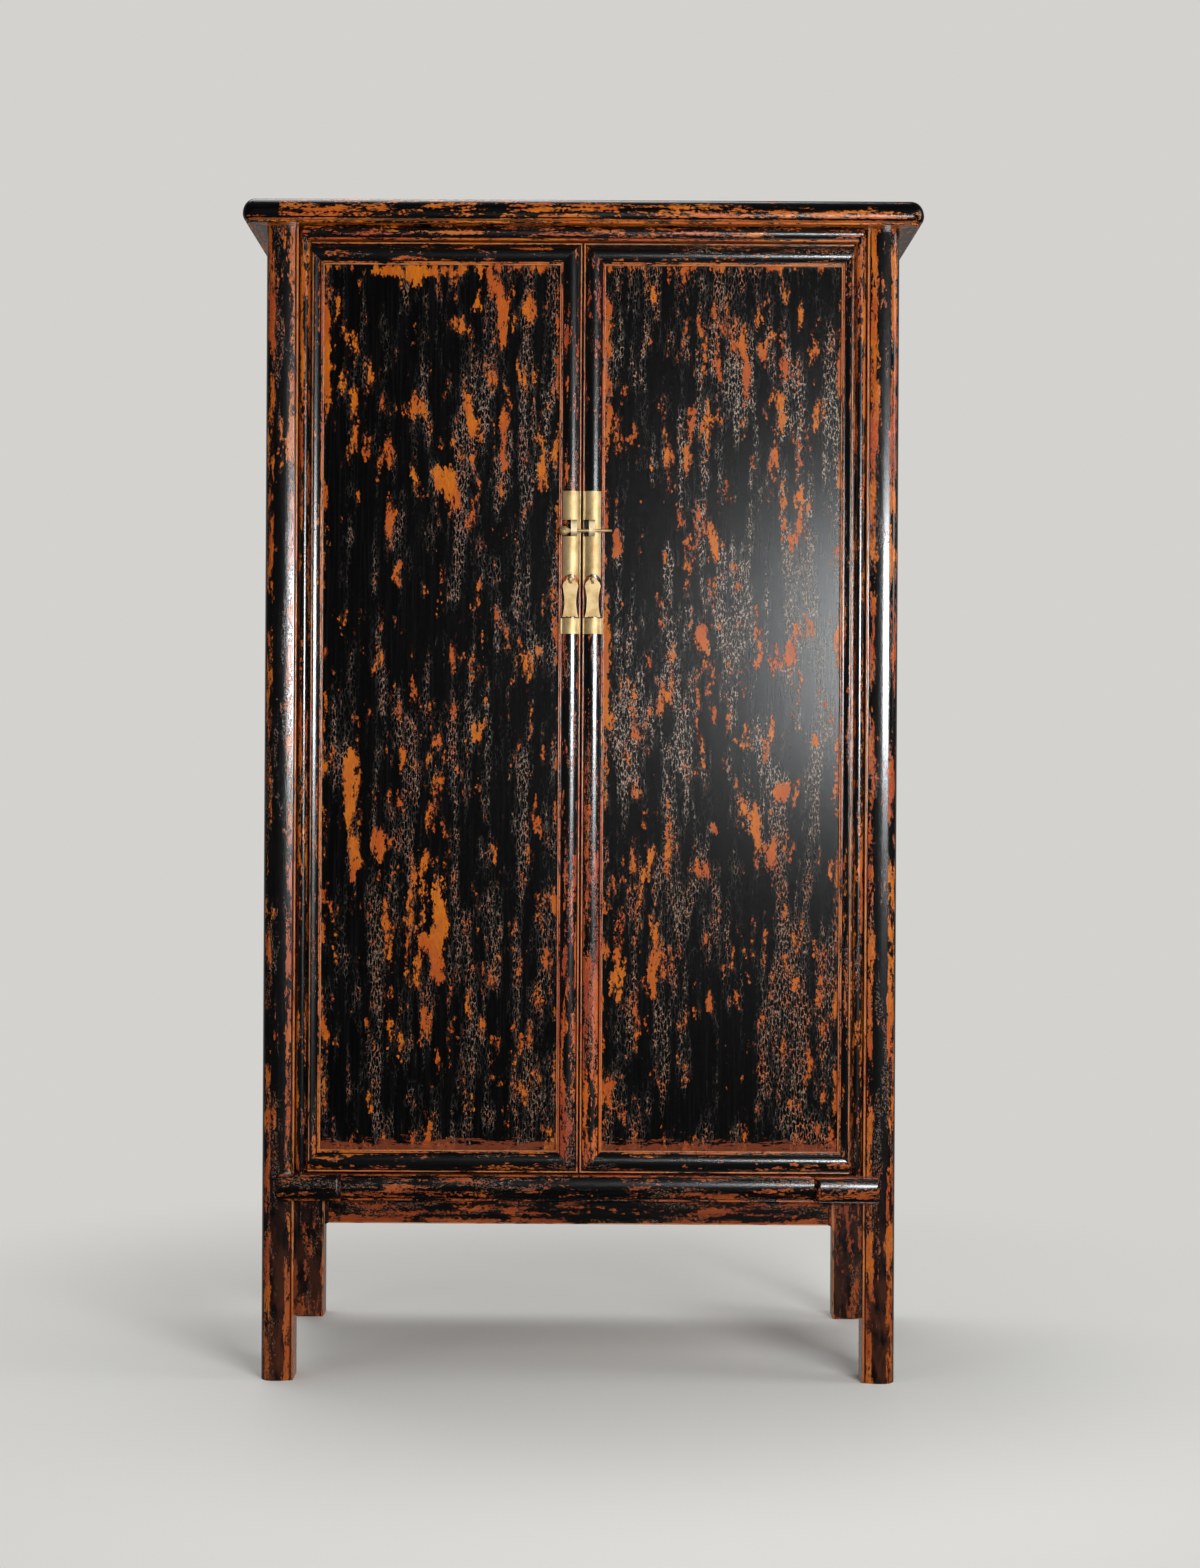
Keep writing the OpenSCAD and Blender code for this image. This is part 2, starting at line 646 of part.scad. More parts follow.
// Section of a frame member: first value from the inner edge outward, second back from the base face.
// A double bead at the inner edge, a convex face, a quirk and a bead at the outer edge.
crown_b0 = 5.8;
crown_b1 = frame_w - 3.8;
crown_r = (pow((crown_b1 - crown_b0) / 2, 2) + crown_h * crown_h) / (2 * crown_h);
function crown_y(b) = crown_r - crown_h - sqrt(pow(crown_r, 2) - pow(b - (crown_b0 + crown_b1) / 2, 2));
function member_section(w) = concat(
  [[0, door_t], [0, 1.2]],
  [for (t = [30:30:150]) [1 - cos(t), 1.2 - sin(t)]],
  [[2, 0.6]],
  [for (t = [0:30:180]) [3.4 - 1.4 * cos(t), 0.2 - 1.4 * sin(t)]],
  [[4.8, 1.2], [crown_b0, 1.2]],
  [for (i = [0:12]) let (b = crown_b0 + (w - 3.8 - crown_b0) * i / 12) [b, crown_y(b)]],
  [[w - 3.8, 1.4], [w - 2.8, 1.4]],
  [for (t = [0:30:180]) [w - 1.4 - 1.4 * cos(t), 0.2 - 1.4 * sin(t)]],
  [[w, door_t]]
);

// Members of the right-hand door, uncut
module pivot_frame_run() {
  translate([panel_x1, door_y, door_z0]) linear_extrude(door_z1 - door_z0)
    polygon(member_section(pivot_frame_w));
}
module meeting_run() {
  translate([panel_x0, door_y, door_z0]) linear_extrude(door_z1 - door_z0)
    polygon([for (p = member_section(frame_w)) [-p[0], p[1]]]);
}
module top_run() {
  translate([frame_x, door_y, panel_z1]) rotate([0, -90, 0]) linear_extrude(frame_x - meet_x)
    polygon(member_section(frame_w));
}
module bottom_run() {
  translate([meet_x, door_y, panel_z0]) rotate([0, 90, 0]) linear_extrude(frame_x - meet_x)
    polygon(member_section(frame_w));
}

// Mitred outlines, in X and Z
function rail_outline(z_in, z_out) = let (s = sign(z_out - z_in)) [
  [meet_x, z_out], [panel_x0, z_in], [panel_x1, z_in],
  [frame_x, z_in + s * pivot_frame_w], [frame_x, z_out]
];
pivot_stile_outline = [
  [panel_x1, panel_z0], [frame_x, panel_z0 - pivot_frame_w],
  [frame_x, panel_z1 + pivot_frame_w], [panel_x1, panel_z1]
];
meeting_stile_outline = [[panel_x0, panel_z0], [panel_x0, panel_z1], [meet_x, door_z1], [meet_x, door_z0]];

// Grooves that hold the panel, and the tenons of the rails
module panel_groove() {
  slab([panel_x0 - groove_depth, door_y + groove_y, panel_z0 - groove_depth],
       [panel_x1 + groove_depth, door_y + groove_y + panel_t + fit / 2, panel_z1 + groove_depth]);
}
door_tenon_t = 6;
module door_tenons(z_in, z_out, c = 0) {
  s = sign(z_out - z_in);
  za = z_in + s * (groove_depth + 0.8);
  zb = z_in + s * (frame_w - 6);
  y = door_y + groove_y + 4;
  e = c > 0 ? end_gap : 0;
  slab([panel_x1 + 1, y - c, min(za, zb) - c], [frame_x + 4.5 + e, y + door_tenon_t + c, max(za, zb) + c]);
  slab([meet_x + 7 - e, y - c, min(za, zb) - c], [panel_x0 - 1, y + door_tenon_t + c, max(za, zb) + c]);
}
module all_door_tenons(c) {
  door_tenons(panel_z1, door_z1, c);
  door_tenons(panel_z0, door_z0, c);
}

// Battens behind the panel, at a quarter and three quarters of its height
door_batten_h = 28;
door_batten_t = door_t - groove_y - panel_t;
door_batten_z = [for (k = [0.25, 0.75]) panel_z0 + (panel_z1 - panel_z0) * k];
module door_battens(c = 0) {
  for (z = door_batten_z) {
    slab([panel_x0 + fit, door_back - door_batten_t, z - door_batten_h / 2],
         [panel_x1 - fit, door_back, z + door_batten_h / 2]);
    slab([panel_x0 - 8 - c, door_back - door_batten_t + 2 - c, z - door_batten_h / 2 + 4 - c],
         [panel_x1 + 8 + c, door_back - 2 + c, z + door_batten_h / 2 - 4 + c]);
  }
}

// Pivot rod with its rounded head, its tapered foot and its two pins
rod_top = cap_z - 5;
module pivot_rod() {
  translate([pivot_x, pivot_y, 0]) rotate_extrude() polygon(concat(
    [[0, sill_top - pin_down], [pin_d / 2 - 1, sill_top - pin_down], [pin_d / 2, sill_top - pin_down + 1]],
    [[pin_d / 2, door_z0 - 1]],
    [for (t = [0:15:90]) [pin_d / 2 + (rod_d - pin_d) / 2 * sin(t), door_z0 - 1 + 16 * (1 - cos(t))]],
    [for (t = [0:15:90]) [pin_d / 2 + (rod_d - pin_d) / 2 * cos(t), rod_top - 6 + 6 * sin(t)]],
    [[pin_d / 2, cap_z + pin_up - 1], [pin_d / 2 - 1, cap_z + pin_up], [0, cap_z + pin_up]]
  ));
}
// The web joins the rod to the frame; its front face is the bottom of the groove beside the rod
web_x1 = pivot_x - rod_d / 2 + 2.5;
module pivot_stile() lacquer() difference() {
  union() {
    pivot_rod();
    slab([frame_x, pivot_y, door_z0], [web_x1, door_back - 2, door_z1]);
    slab([frame_x - 2, pivot_y, panel_z0 - pivot_frame_w + 4],
         [frame_x + 1, door_back - 2, panel_z1 + pivot_frame_w - 4]);
    intersection() {
      pivot_frame_run();
      board_y(door_y - 10, door_back + 1, pivot_stile_outline);
    }
  }
  panel_groove();
  all_door_tenons(fit);
  door_battens(fit);
}
// The meeting stile has holes for the shanks of its staple and its pull's eye
module meeting_stile(staple_x) lacquer() difference() {
  intersection() {
    meeting_run();
    board_y(door_y - 10, door_back + 1, meeting_stile_outline);
  }
  panel_groove();
  all_door_tenons(fit);
  door_battens(fit);
  shank([staple_x, lock_z + 6.5], staple_shank_d, 0.1);
  shank([stile_mid, eye_z], eye_shank_d, 0.1);
}
module door_rail(z_in, z_out) lacquer() difference() {
  union() {
    intersection() {
      if (z_out > z_in) top_run(); else bottom_run();
      board_y(door_y - 10, door_back + 1, rail_outline(z_in, z_out));
    }
    door_tenons(z_in, z_out);
  }
  panel_groove();
}
module door_panel() lacquer()
  slab([panel_x0 - tongue_l, door_y + groove_y, panel_z0 - tongue_l],
       [panel_x1 + tongue_l, door_y + groove_y + panel_t, panel_z1 + tongue_l]);

module right_door_pivot_stile() pivot_stile();
module left_door_pivot_stile() left() pivot_stile();
module right_door_meeting_stile() meeting_stile(right_staple_x);
module left_door_meeting_stile() left() meeting_stile(left_staple_x);
module right_door_top_rail() door_rail(panel_z1, door_z1);
module left_door_top_rail() left() door_rail(panel_z1, door_z1);
module right_door_bottom_rail() door_rail(panel_z0, door_z0);
module left_door_bottom_rail() left() door_rail(panel_z0, door_z0);
module right_door_panel() door_panel();
module left_door_panel() left() door_panel();
module right_door_battens() bare_wood() door_battens();
module left_door_battens() left() bare_wood() door_battens();

// Brass mounts, drawn on the right-hand door

// Middle of the meeting stile's convex face, and half its width
stile_mid = panel_x0 - (crown_b0 + crown_b1) / 2;
crown_half = (crown_b1 - crown_b0) / 2;
sheet_gap = 0.2;
function arc_y(r, o) = crown_r - crown_h - sqrt(r * r - o * o);

// A rolled flange that covers the bead at one edge of the stile; s is the side it lies on
function flange(s) = [for (t = [150:-30:0]) [s * (crown_half + 2.2 + 1.5 * cos(t)), -1.5 - 1.5 * sin(t)]];
function inner_flange(s) = [[s * (crown_half + 3.7), -1.4], [s * (crown_half + 0.6), -1.4]];
function turned(pts) = [for (i = [len(pts) - 1:-1:0]) pts[i]];

// Section of a sheet bent over the stile: first value is the way from its middle to the meeting edge
function sheet_section(both, grow) =
  let (r = crown_r + sheet_gap, h = crown_half + 0.3, a = both ? -h + 0.4 : -h - 0.2)
  concat(
    both ? turned(flange(-1)) : [],
    [for (i = [0:14]) let (o = a + (h - 0.4 - a) * i / 14) [o, arc_y(r + brass_t + grow, o)]],
    flange(1), inner_flange(1),
    [for (i = [0:14]) let (o = h + (a - (both ? 0.4 : 0) - h) * i / 14) [o, arc_y(r + grow / 2, o)]],
    both ? turned(inner_flange(-1)) : []
  );
module sheet(z, h, both, grow) {
  translate([stile_mid, door_y, z]) linear_extrude(h)
    polygon([for (p = sheet_section(both, grow)) [-p[0], p[1]]]);
}
module crown_core() {
  translate([stile_mid, door_y + crown_r - crown_h, band_z - 10])
    cylinder(r = crown_r + 0.05, h = sleeve_z + sleeve_h - band_z + 20);
}
// A round shank driven back into the stile at p, its X and Z
shank_y0 = -6;
shank_y1 = 11;
module shank(p, d, c = 0) {
  translate([p[0], door_y + shank_y1 + 3 * c, p[1]]) rotate([90, 0, 0])
    cylinder(d = d + 2 * c, h = shank_y1 - shank_y0 + 3 * c);
}

// Distance of each staple from the middle of the cabinet: the left sleeve isn't the right one mirrored
left_staple_x = 11.8;
right_staple_x = 15.2;
staple_shank_d = 6;
lock_y = door_y - 9.5;
window_z = lock_z - 8.2;
module lock_sleeve(x0, x1) brass() difference() {
  sheet(sleeve_z, sleeve_h, false, 0);
  slab([x0, door_y - 20, window_z], [x1, door_y + 5, window_z + staple_h]);
  translate([stile_mid, door_y + 5, sleeve_z + 2]) rotate([90, 0, 0]) cylinder(r = 13, h = 20);
}
module staple(x) brass() difference() {
  union() {
    difference() {
      run_x(x - staple_w / 2, x + staple_w / 2, [for (p = [
        [0.1, 9.5], [0.1, -2.5], [0.9, -5.6], [3.2, -8.2], [8.2, -9.4], [staple_h - 7, -9.4],
        [staple_h - 2.6, -8.2], [staple_h - 0.7, -5.6], [staple_h - 0.1, -2.5], [staple_h - 0.1, 9.5]
      ]) [window_z + p[0], door_y - 4 + p[1]]]);
      crown_core();
    }
    shank([x, lock_z + 6.5], staple_shank_d);
  }
  translate([x - staple_w, lock_y, lock_z]) rotate([0, 90, 0])
    cylinder(d = lock_pin_d + 0.3, h = 2 * staple_w);
}

// Eye that a pull hangs from: a ring in the YZ plane on a round base
eye_r = 5;
eye_t = 2;
eye_w = 3.2;
eye_shank_d = 5;
eye_y = door_y - 7.5;
eye_z = sleeve_z + 6.8;
module pull_eye() brass() {
  difference() {
    union() {
      translate([stile_mid, eye_y, eye_z]) rotate([0, 90, 0]) rotate_extrude() translate([eye_r, 0])
        polygon([[-eye_t / 2, -0.9], [-0.5, -eye_w / 2], [0.5, -eye_w / 2], [eye_t / 2, -0.9],
                 [eye_t / 2, 0.9], [0.5, eye_w / 2], [-0.5, eye_w / 2], [-eye_t / 2, 0.9]]);
      translate([stile_mid, door_y, eye_z]) rotate([90, 0, 0]) cylinder(d = 11, h = 5.3);
    }
    crown_core();
  }
  shank([stile_mid, eye_z], eye_shank_d);
}

// Pull: a waisted plate with two horns, a slot for the eye and a scalloped foot
pull_foot = band_z + band_h + 1.3;
pull_top = sleeve_z - 3;
module pull() brass() translate([stile_mid, 0, 0]) difference() {
  board_y(eye_y - pull_t / 2, eye_y + pull_t / 2, concat(
    [[0, eye_z - 1.6], [-2.6, eye_z - 1.9], [-4.6, eye_z - 0.6], [-5.7, eye_z + 0.7], [-7, eye_z - 1.6],
     [-pull_w / 2 + 1.6, eye_z - 5]],
    bow([-pull_w / 2, pull_top], [-pull_w / 2, pull_foot], -(pull_w - pull_waist) / 2, 10),
    bow([pull_w / 2, pull_foot], [pull_w / 2, pull_top], -(pull_w - pull_waist) / 2, 10),
    [[pull_w / 2 - 1.6, eye_z - 5], [7, eye_z - 1.6], [5.7, eye_z + 0.7], [4.6, eye_z - 0.6],
     [2.6, eye_z - 1.9]]));
  slab([-2, eye_y - 5, eye_z - eye_r - eye_t / 2 - 0.35], [2, eye_y + 5, eye_z - eye_r + eye_t / 2 + 0.35]);
  for (x = [-6, -0.5, 5]) translate([x, eye_y + 5, pull_foot]) rotate([90, 0, 0]) cylinder(r = 1.3, h = 10);
}

module right_lock_sleeve() lock_sleeve(0, right_staple_x + staple_w / 2 + 0.1);
module left_lock_sleeve() left() lock_sleeve(left_staple_x - staple_w / 2 - 0.1, panel_x0);
module right_lock_staple() staple(right_staple_x);
module left_lock_staple() left() staple(left_staple_x);
module right_pull_eye() pull_eye();
module left_pull_eye() left() pull_eye();
module right_pull() pull();
module left_pull() left() pull();
module right_foot_band() brass() sheet(band_z, band_h, true, 0.5);
module left_foot_band() left() brass() sheet(band_z, band_h, true, 0.5);

// Lock pin: a faceted knob on the left, a straight shank through both staples and a tapered point
knob_x = -left_staple_x - staple_w / 2 - 2.2;
knob_d = 13.6;
pin_end = 45;
module lock_pin() brass() translate([0, lock_y, lock_z]) rotate([0, 90, 0]) {
  translate([0, 0, knob_x]) cylinder(d = lock_pin_d, h = 20 - knob_x);
  translate([0, 0, 20]) cylinder(d1 = lock_pin_d, d2 = 3.6, h = pin_end - 21);
  translate([0, 0, pin_end - 1]) cylinder(d1 = 3.6, d2 = 2.2, h = 1);
  translate([0, 0, knob_x - 5.5]) cylinder(d1 = knob_d, d2 = lock_pin_d + 0.6, h = 5.5 + 0.5, $fn = 8);
  translate([0, 0, knob_x - 10.5]) cylinder(d = knob_d, h = 5, $fn = 8);
  translate([0, 0, knob_x - 14]) cylinder(d1 = knob_d - 5.5, d2 = knob_d, h = 3.5, $fn = 8);
}

cap_front_rail();
cap_back_rail();
cap_left_rail();
cap_right_rail();
cap_panel();
cap_battens();
front_left_post();
front_right_post();
rear_left_post();
rear_right_post();
front_top_rail();
front_bottom_rail();
left_pivot_block();
right_pivot_block();
front_apron();
front_left_spandrel();
front_right_spandrel();
left_side_top_rail();
left_side_bottom_rail();
left_side_panel();
left_side_apron();
right_side_top_rail();
right_side_bottom_rail();
right_side_panel();
right_side_apron();
back_top_rail();
back_bottom_rail();
back_stile();
back_left_panel();
back_right_panel();
back_apron();
bottom_board();
lower_shelf();
upper_shelf();
lower_shelf_bearers();
upper_shelf_bearers();
left_door_pivot_stile();
left_door_meeting_stile();
left_door_top_rail();
left_door_bottom_rail();
left_door_panel();
left_door_battens();
right_door_pivot_stile();
right_door_meeting_stile();
right_door_top_rail();
right_door_bottom_rail();
right_door_panel();
right_door_battens();
left_lock_sleeve();
left_lock_staple();
left_pull_eye();
left_pull();
left_foot_band();
right_lock_sleeve();
right_lock_staple();
right_pull_eye();
right_pull();
right_foot_band();
lock_pin();
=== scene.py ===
import math

import bmesh
import bpy
from mathutils import Matrix, Vector

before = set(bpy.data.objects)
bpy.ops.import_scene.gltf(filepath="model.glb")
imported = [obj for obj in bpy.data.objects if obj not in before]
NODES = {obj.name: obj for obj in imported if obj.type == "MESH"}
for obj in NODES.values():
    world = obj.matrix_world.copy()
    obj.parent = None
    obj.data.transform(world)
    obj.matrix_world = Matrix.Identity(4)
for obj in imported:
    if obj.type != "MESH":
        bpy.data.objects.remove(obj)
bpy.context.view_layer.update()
scene = bpy.context.scene


def span(name, axis):
    """Where a piece starts and ends along an axis, to a tenth of a millimetre."""
    places = [v.co["xyz".index(axis)] * 1000 for v in NODES[name].data.vertices]
    return round(min(places), 1), round(max(places), 1)


# Places that the finishes follow, in millimetres. The right door's serve for the left one too, mirrored
PANEL_X0 = span("right_door_meeting_stile", "x")[1]
PANEL_X1 = span("right_door_pivot_stile", "x")[0]
PANEL_Z0 = span("right_door_bottom_rail", "z")[1]
PANEL_Z1, DOOR_TOP = span("right_door_top_rail", "z")
PANEL_BACK = span("right_door_panel", "y")[1]
FRAME_BACK = span("right_door_top_rail", "y")[1]
FRAME_W = DOOR_TOP - PANEL_Z1
SIDE_BACK = span("right_side_panel", "x")[0]
POST_X = span("front_right_post", "x")[0]
CAP_Z = span("cap_front_rail", "z")[0]
SILL_Z, SILL_TOP = span("right_pivot_block", "z")
APRON_Z = span("front_apron", "z")[0]
SPANDREL_X = span("front_right_spandrel", "x")[0]
# The moulding of a pivot stile and the gap between it and the rod, and the gap over the doors
PIVOT_FRAME_W, ROD_GAP, DOOR_GAP = 18.0, 2.0, 2.5
ROD_X = PANEL_X1 + PIVOT_FRAME_W + ROD_GAP
HEAD_Z = DOOR_TOP + DOOR_GAP

# Colours as on a screen
BLACK, BLACK_STREAK = (2, 2, 2), (14, 14, 15)
# The third of these is a pale edge colour, partly rubbed ground and partly painted highlight
VEIL, THIN_BLACK, RUBBED_GROUND_AND_HIGHLIGHT = (60, 56, 52), (74, 32, 14), (176, 118, 76)
# The third crack colour is a painted highlight: the cracks' colour where the sheen falls on the doors
CRACK, CRACK_BY_WEAR, CRACK_PAINTED_SHEEN = (150, 116, 92), (186, 102, 54), (184, 164, 146)
SMEAR, DUST = (112, 52, 30), (94, 46, 25)
INSIDE_DARK, INSIDE_LIGHT = (60, 30, 20), (92, 52, 34)
WOOD_LIGHT, WOOD_DARK, WOOD_STAIN = (150, 104, 62), (96, 60, 34), (58, 40, 28)


def shade(r, g, b):
    """A colour written as on a screen, for a socket that wants it linear."""
    def lin(c):
        c /= 255
        return c / 12.92 if c <= 0.04045 else ((c + 0.055) / 1.055) ** 2.4
    return (lin(r), lin(g), lin(b), 1.0)


def darker(colour, k):
    return shade(*(c * k for c in colour))


def add_node(tree, kind, settings=None, inputs=None, out=0):
    """One new node: its settings first, then a value or a wire for each input that is named."""
    n = tree.nodes.new(kind)
    for key, v in (settings or {}).items():
        setattr(n, key, v)
    for key, v in (inputs or {}).items():
        if isinstance(v, Wire):
            tree.links.new(v.socket, n.inputs[key])
        else:
            n.inputs[key].default_value = v
    return Wire(tree, n.outputs[out])


class Wire:
    """One output of a node; a sum written with it adds the nodes that work it out."""

    def __init__(self, tree, socket):
        self.tree, self.socket = tree, socket

    def math(self, kind, *terms):
        return add_node(self.tree, "ShaderNodeMath", {"operation": kind}, dict(enumerate(terms)))

    def __add__(self, other):
        return self.math("ADD", self, other)

    def __radd__(self, other):
        return self.math("ADD", other, self)

    def __sub__(self, other):
        return self.math("SUBTRACT", self, other)

    def __rsub__(self, other):
        return self.math("SUBTRACT", other, self)

    def __mul__(self, other):
        return self.math("MULTIPLY", self, other)

    def __rmul__(self, other):
        return self.math("MULTIPLY", other, self)

    def least(self, other):
        return self.math("MINIMUM", self, other)

    def most(self, other):
        return self.math("MAXIMUM", self, other)

    def size(self):
        return self.math("ABSOLUTE", self)

    def rise(self, a, b):
        """0 up to a, 1 from b on and smooth between; with a above b it falls instead."""
        down = a > b
        return add_node(self.tree, "ShaderNodeMapRange", {"interpolation_type": "SMOOTHSTEP"}, {
            "Value": self, "From Min": min(a, b), "From Max": max(a, b),
            "To Min": float(down), "To Max": float(not down)}, "Result")

    def between(self, a, b, soft):
        """1 from a to b, falling off over soft outside them."""
        return self.rise(a - soft, a) * self.rise(b + soft, b)


class Finish:
    """One material. Places on it are the object's own coordinates, in millimetres."""

    # How far one seed moves a noise along x, y and z
    SEED_STEP = (3.17, 7.31, 5.53)

    def __init__(self, name):
        self.mat = bpy.data.materials.new(name)
        self.mat.use_nodes = True
        self.tree = self.mat.node_tree
        self.surface = self.tree.nodes["Principled BSDF"]
        own = self.node("ShaderNodeTexCoord", out="Object")
        self.place = self.node("ShaderNodeVectorMath", {"operation": "SCALE"}, {0: own, "Scale": 1000.0})
        self.x, self.y, self.z = (
            self.node("ShaderNodeSeparateXYZ", inputs={0: self.place}, out=k) for k in range(3))

    def node(self, kind, settings=None, inputs=None, out=0):
        return add_node(self.tree, kind, settings, inputs, out)

    def scaled(self, place, sizes, seed):
        """Places counted in marks of these sizes, moved by the seed."""
        return self.node("ShaderNodeVectorMath", {"operation": "MULTIPLY_ADD"}, {
            0: place, 1: [1.0 / s for s in sizes], 2: [seed * k for k in self.SEED_STEP]})

    def noise(self, sizes, seed, detail=3.0, rough=0.55, place=None, out=0):
        """Cloudy noise whose marks are about sizes long in x, y and z."""
        return self.node("ShaderNodeTexNoise", inputs={
            "Vector": self.scaled(place or self.place, sizes, seed), "Scale": 1.0, "Detail": detail,
            "Roughness": rough}, out=out)

    def torn(self, sizes, seed, pull):
        """The places of the surface, each pulled aside by up to half of pull, which frays a smooth edge."""
        push = self.noise(sizes, seed, detail=4.0, rough=0.7, out="Color")
        away = self.node("ShaderNodeVectorMath", {"operation": "MULTIPLY_ADD"}, {
            0: push, 1: pull, 2: [-p / 2 for p in pull]})
        return self.node("ShaderNodeVectorMath", {"operation": "ADD"}, {0: self.place, 1: away})

    def chipped(self, place, sizes, seed, share):
        """Places drawn by share towards the middle of their chip, so that an edge breaks chip by chip."""
        chip = self.node("ShaderNodeTexVoronoi", inputs={
            "Vector": self.scaled(place, sizes, seed), "Scale": 1.0}, out="Position")
        middle = self.node("ShaderNodeVectorMath", {"operation": "MULTIPLY_ADD"}, {
            0: chip, 1: sizes, 2: [-seed * k * s for k, s in zip(self.SEED_STEP, sizes)]})
        return self.node("ShaderNodeMix", {"data_type": "VECTOR"}, {0: share, 4: place, 5: middle}, 1)

    def blots(self, spots, place):
        """1 in the middle of the nearest spot and 0 well outside it; a spot is x, z, width and height."""
        near = None
        for x, z, w, h in spots:
            reach = self.node("ShaderNodeVectorMath", {"operation": "MULTIPLY_ADD"}, {
                0: place, 1: (2 / w, 0, 2 / h), 2: (-2 * x / w, 0, -2 * z / h)})
            r = self.node("ShaderNodeVectorMath", {"operation": "LENGTH"}, {0: reach}, "Value")
            near = r if near is None else near.least(r)
        return near.rise(1.5, 0.3)

    def mix(self, a, b, t):
        """Colour a where t is 0 and colour b where it is 1."""
        return self.node("ShaderNodeMix", {"data_type": "RGBA"}, {0: t, 6: a, 7: b}, 2)

    def set(self, **values):
        for name, v in values.items():
            socket = self.surface.inputs[name.replace("_", " ")]
            if isinstance(v, Wire):
                self.tree.links.new(v.socket, socket)
            else:
                socket.default_value = v

    def relief(self, height, depth):
        """A height of 1 stands depth metres above a height of 0."""
        self.set(Normal=self.node("ShaderNodeBump", inputs={
            "Strength": 1.0, "Distance": depth, "Height": height}))


class TimberFinish(Finish):
    """A finish whose marks follow the grain, and whose noises each add their own number to its seed."""

    def __init__(self, name, grain, seed):
        super().__init__(name)
        self.grain, self.seed = grain, seed

    def along(self, across, length):
        """Sizes in x, y and z of a mark that is stretched along the grain."""
        return [length if axis == self.grain else across for axis in "xyz"]

    def marks(self, across, length, own, detail=3.0, rough=0.55, place=None):
        """Noise whose marks lie along the grain; own is the number that it adds to the seed."""
        return self.noise(self.along(across, length), self.seed + own, detail, rough, place)


# The coats of the lacquer

# How far places are drawn to the middle of their chip
CHIP_SHARE = 0.85
# How much the large patches and the listed spots count in the wear
BROAD_SHARE, SPOT_SHARE = 0.22, 0.145
# How much wear it takes to go from black to bare
BARE_EDGE = 0.012


def wear_of_black(f, patch, fray, chip, wear, spots):
    """How worn the black is, as a noise of patches with frayed edges that have broken off chip by chip."""
    place = f.torn(f.along(*fray), f.seed + 12, f.along(fray[0] * 1.6, fray[1] * 2.0))
    place = f.chipped(place, f.along(*chip), f.seed + 18, CHIP_SHARE)
    worn = f.marks(*patch, 0, detail=6.0, rough=0.72, place=place)
    broad = f.marks(patch[0] * 5, patch[1] * 4, 9, detail=1.0) - 0.5
    worn = worn + broad * BROAD_SHARE
    if wear:
        worn = worn + wear(f)
    if spots:
        worn = worn + f.blots(spots, place) * SPOT_SHARE
    return worn


def crack_net(f, cell):
    """1 on the cracks between the cells of the black, before gaps break them up."""
    wander = f.torn(f.along(1.8, 4.5), f.seed + 2, f.along(4.4, 9.0))
    edge = f.node("ShaderNodeTexVoronoi", {"feature": "DISTANCE_TO_EDGE"}, {
        "Vector": f.scaled(wander, f.along(*cell), f.seed + 2), "Scale": 1.0})
    return edge.rise(0.105, 0.035)


def pale_arris_rubbed_and_lit(f, colour, arris):
    """An edge painted pale: partly rubbed down to the pale ground, partly a painted highlight."""
    rubbed = f.marks(3, 26, 13, detail=3.0, rough=0.65).rise(0.36, 0.5)
    return f.mix(colour, shade(*RUBBED_GROUND_AND_HIGHLIGHT), arris(f) * rubbed)


def rub_foot(f, colour, foot):
    """Brown smears on the lowest part of a panel, whose visible foot is at this height."""
    rub = f.noise((26, 8, 5), f.seed + 15, detail=4.0, rough=0.7) + f.z.rise(foot + 30, foot) * 0.3
    return f.mix(colour, shade(*SMEAR), rub.rise(0.68, 0.74) * f.z.rise(foot + 40, foot + 30) * 0.85)


def dust_foot(f, colour, dust):
    """Brown dust on the legs, thicker towards the floor."""
    low = f.z.rise(420, 0) * f.marks(14, 40, 11, detail=4.0).rise(0.35, 0.65)
    return f.mix(colour, shade(*DUST), low * dust)


def brown_inside(f, colour, inside):
    """Plain brown lacquer on the side that faces into the cabinet."""
    fibre = f.marks(2.4, 90, 14, detail=3.0)
    return f.mix(colour, f.mix(shade(*INSIDE_DARK), shade(*INSIDE_LIGHT), fibre), inside(f))


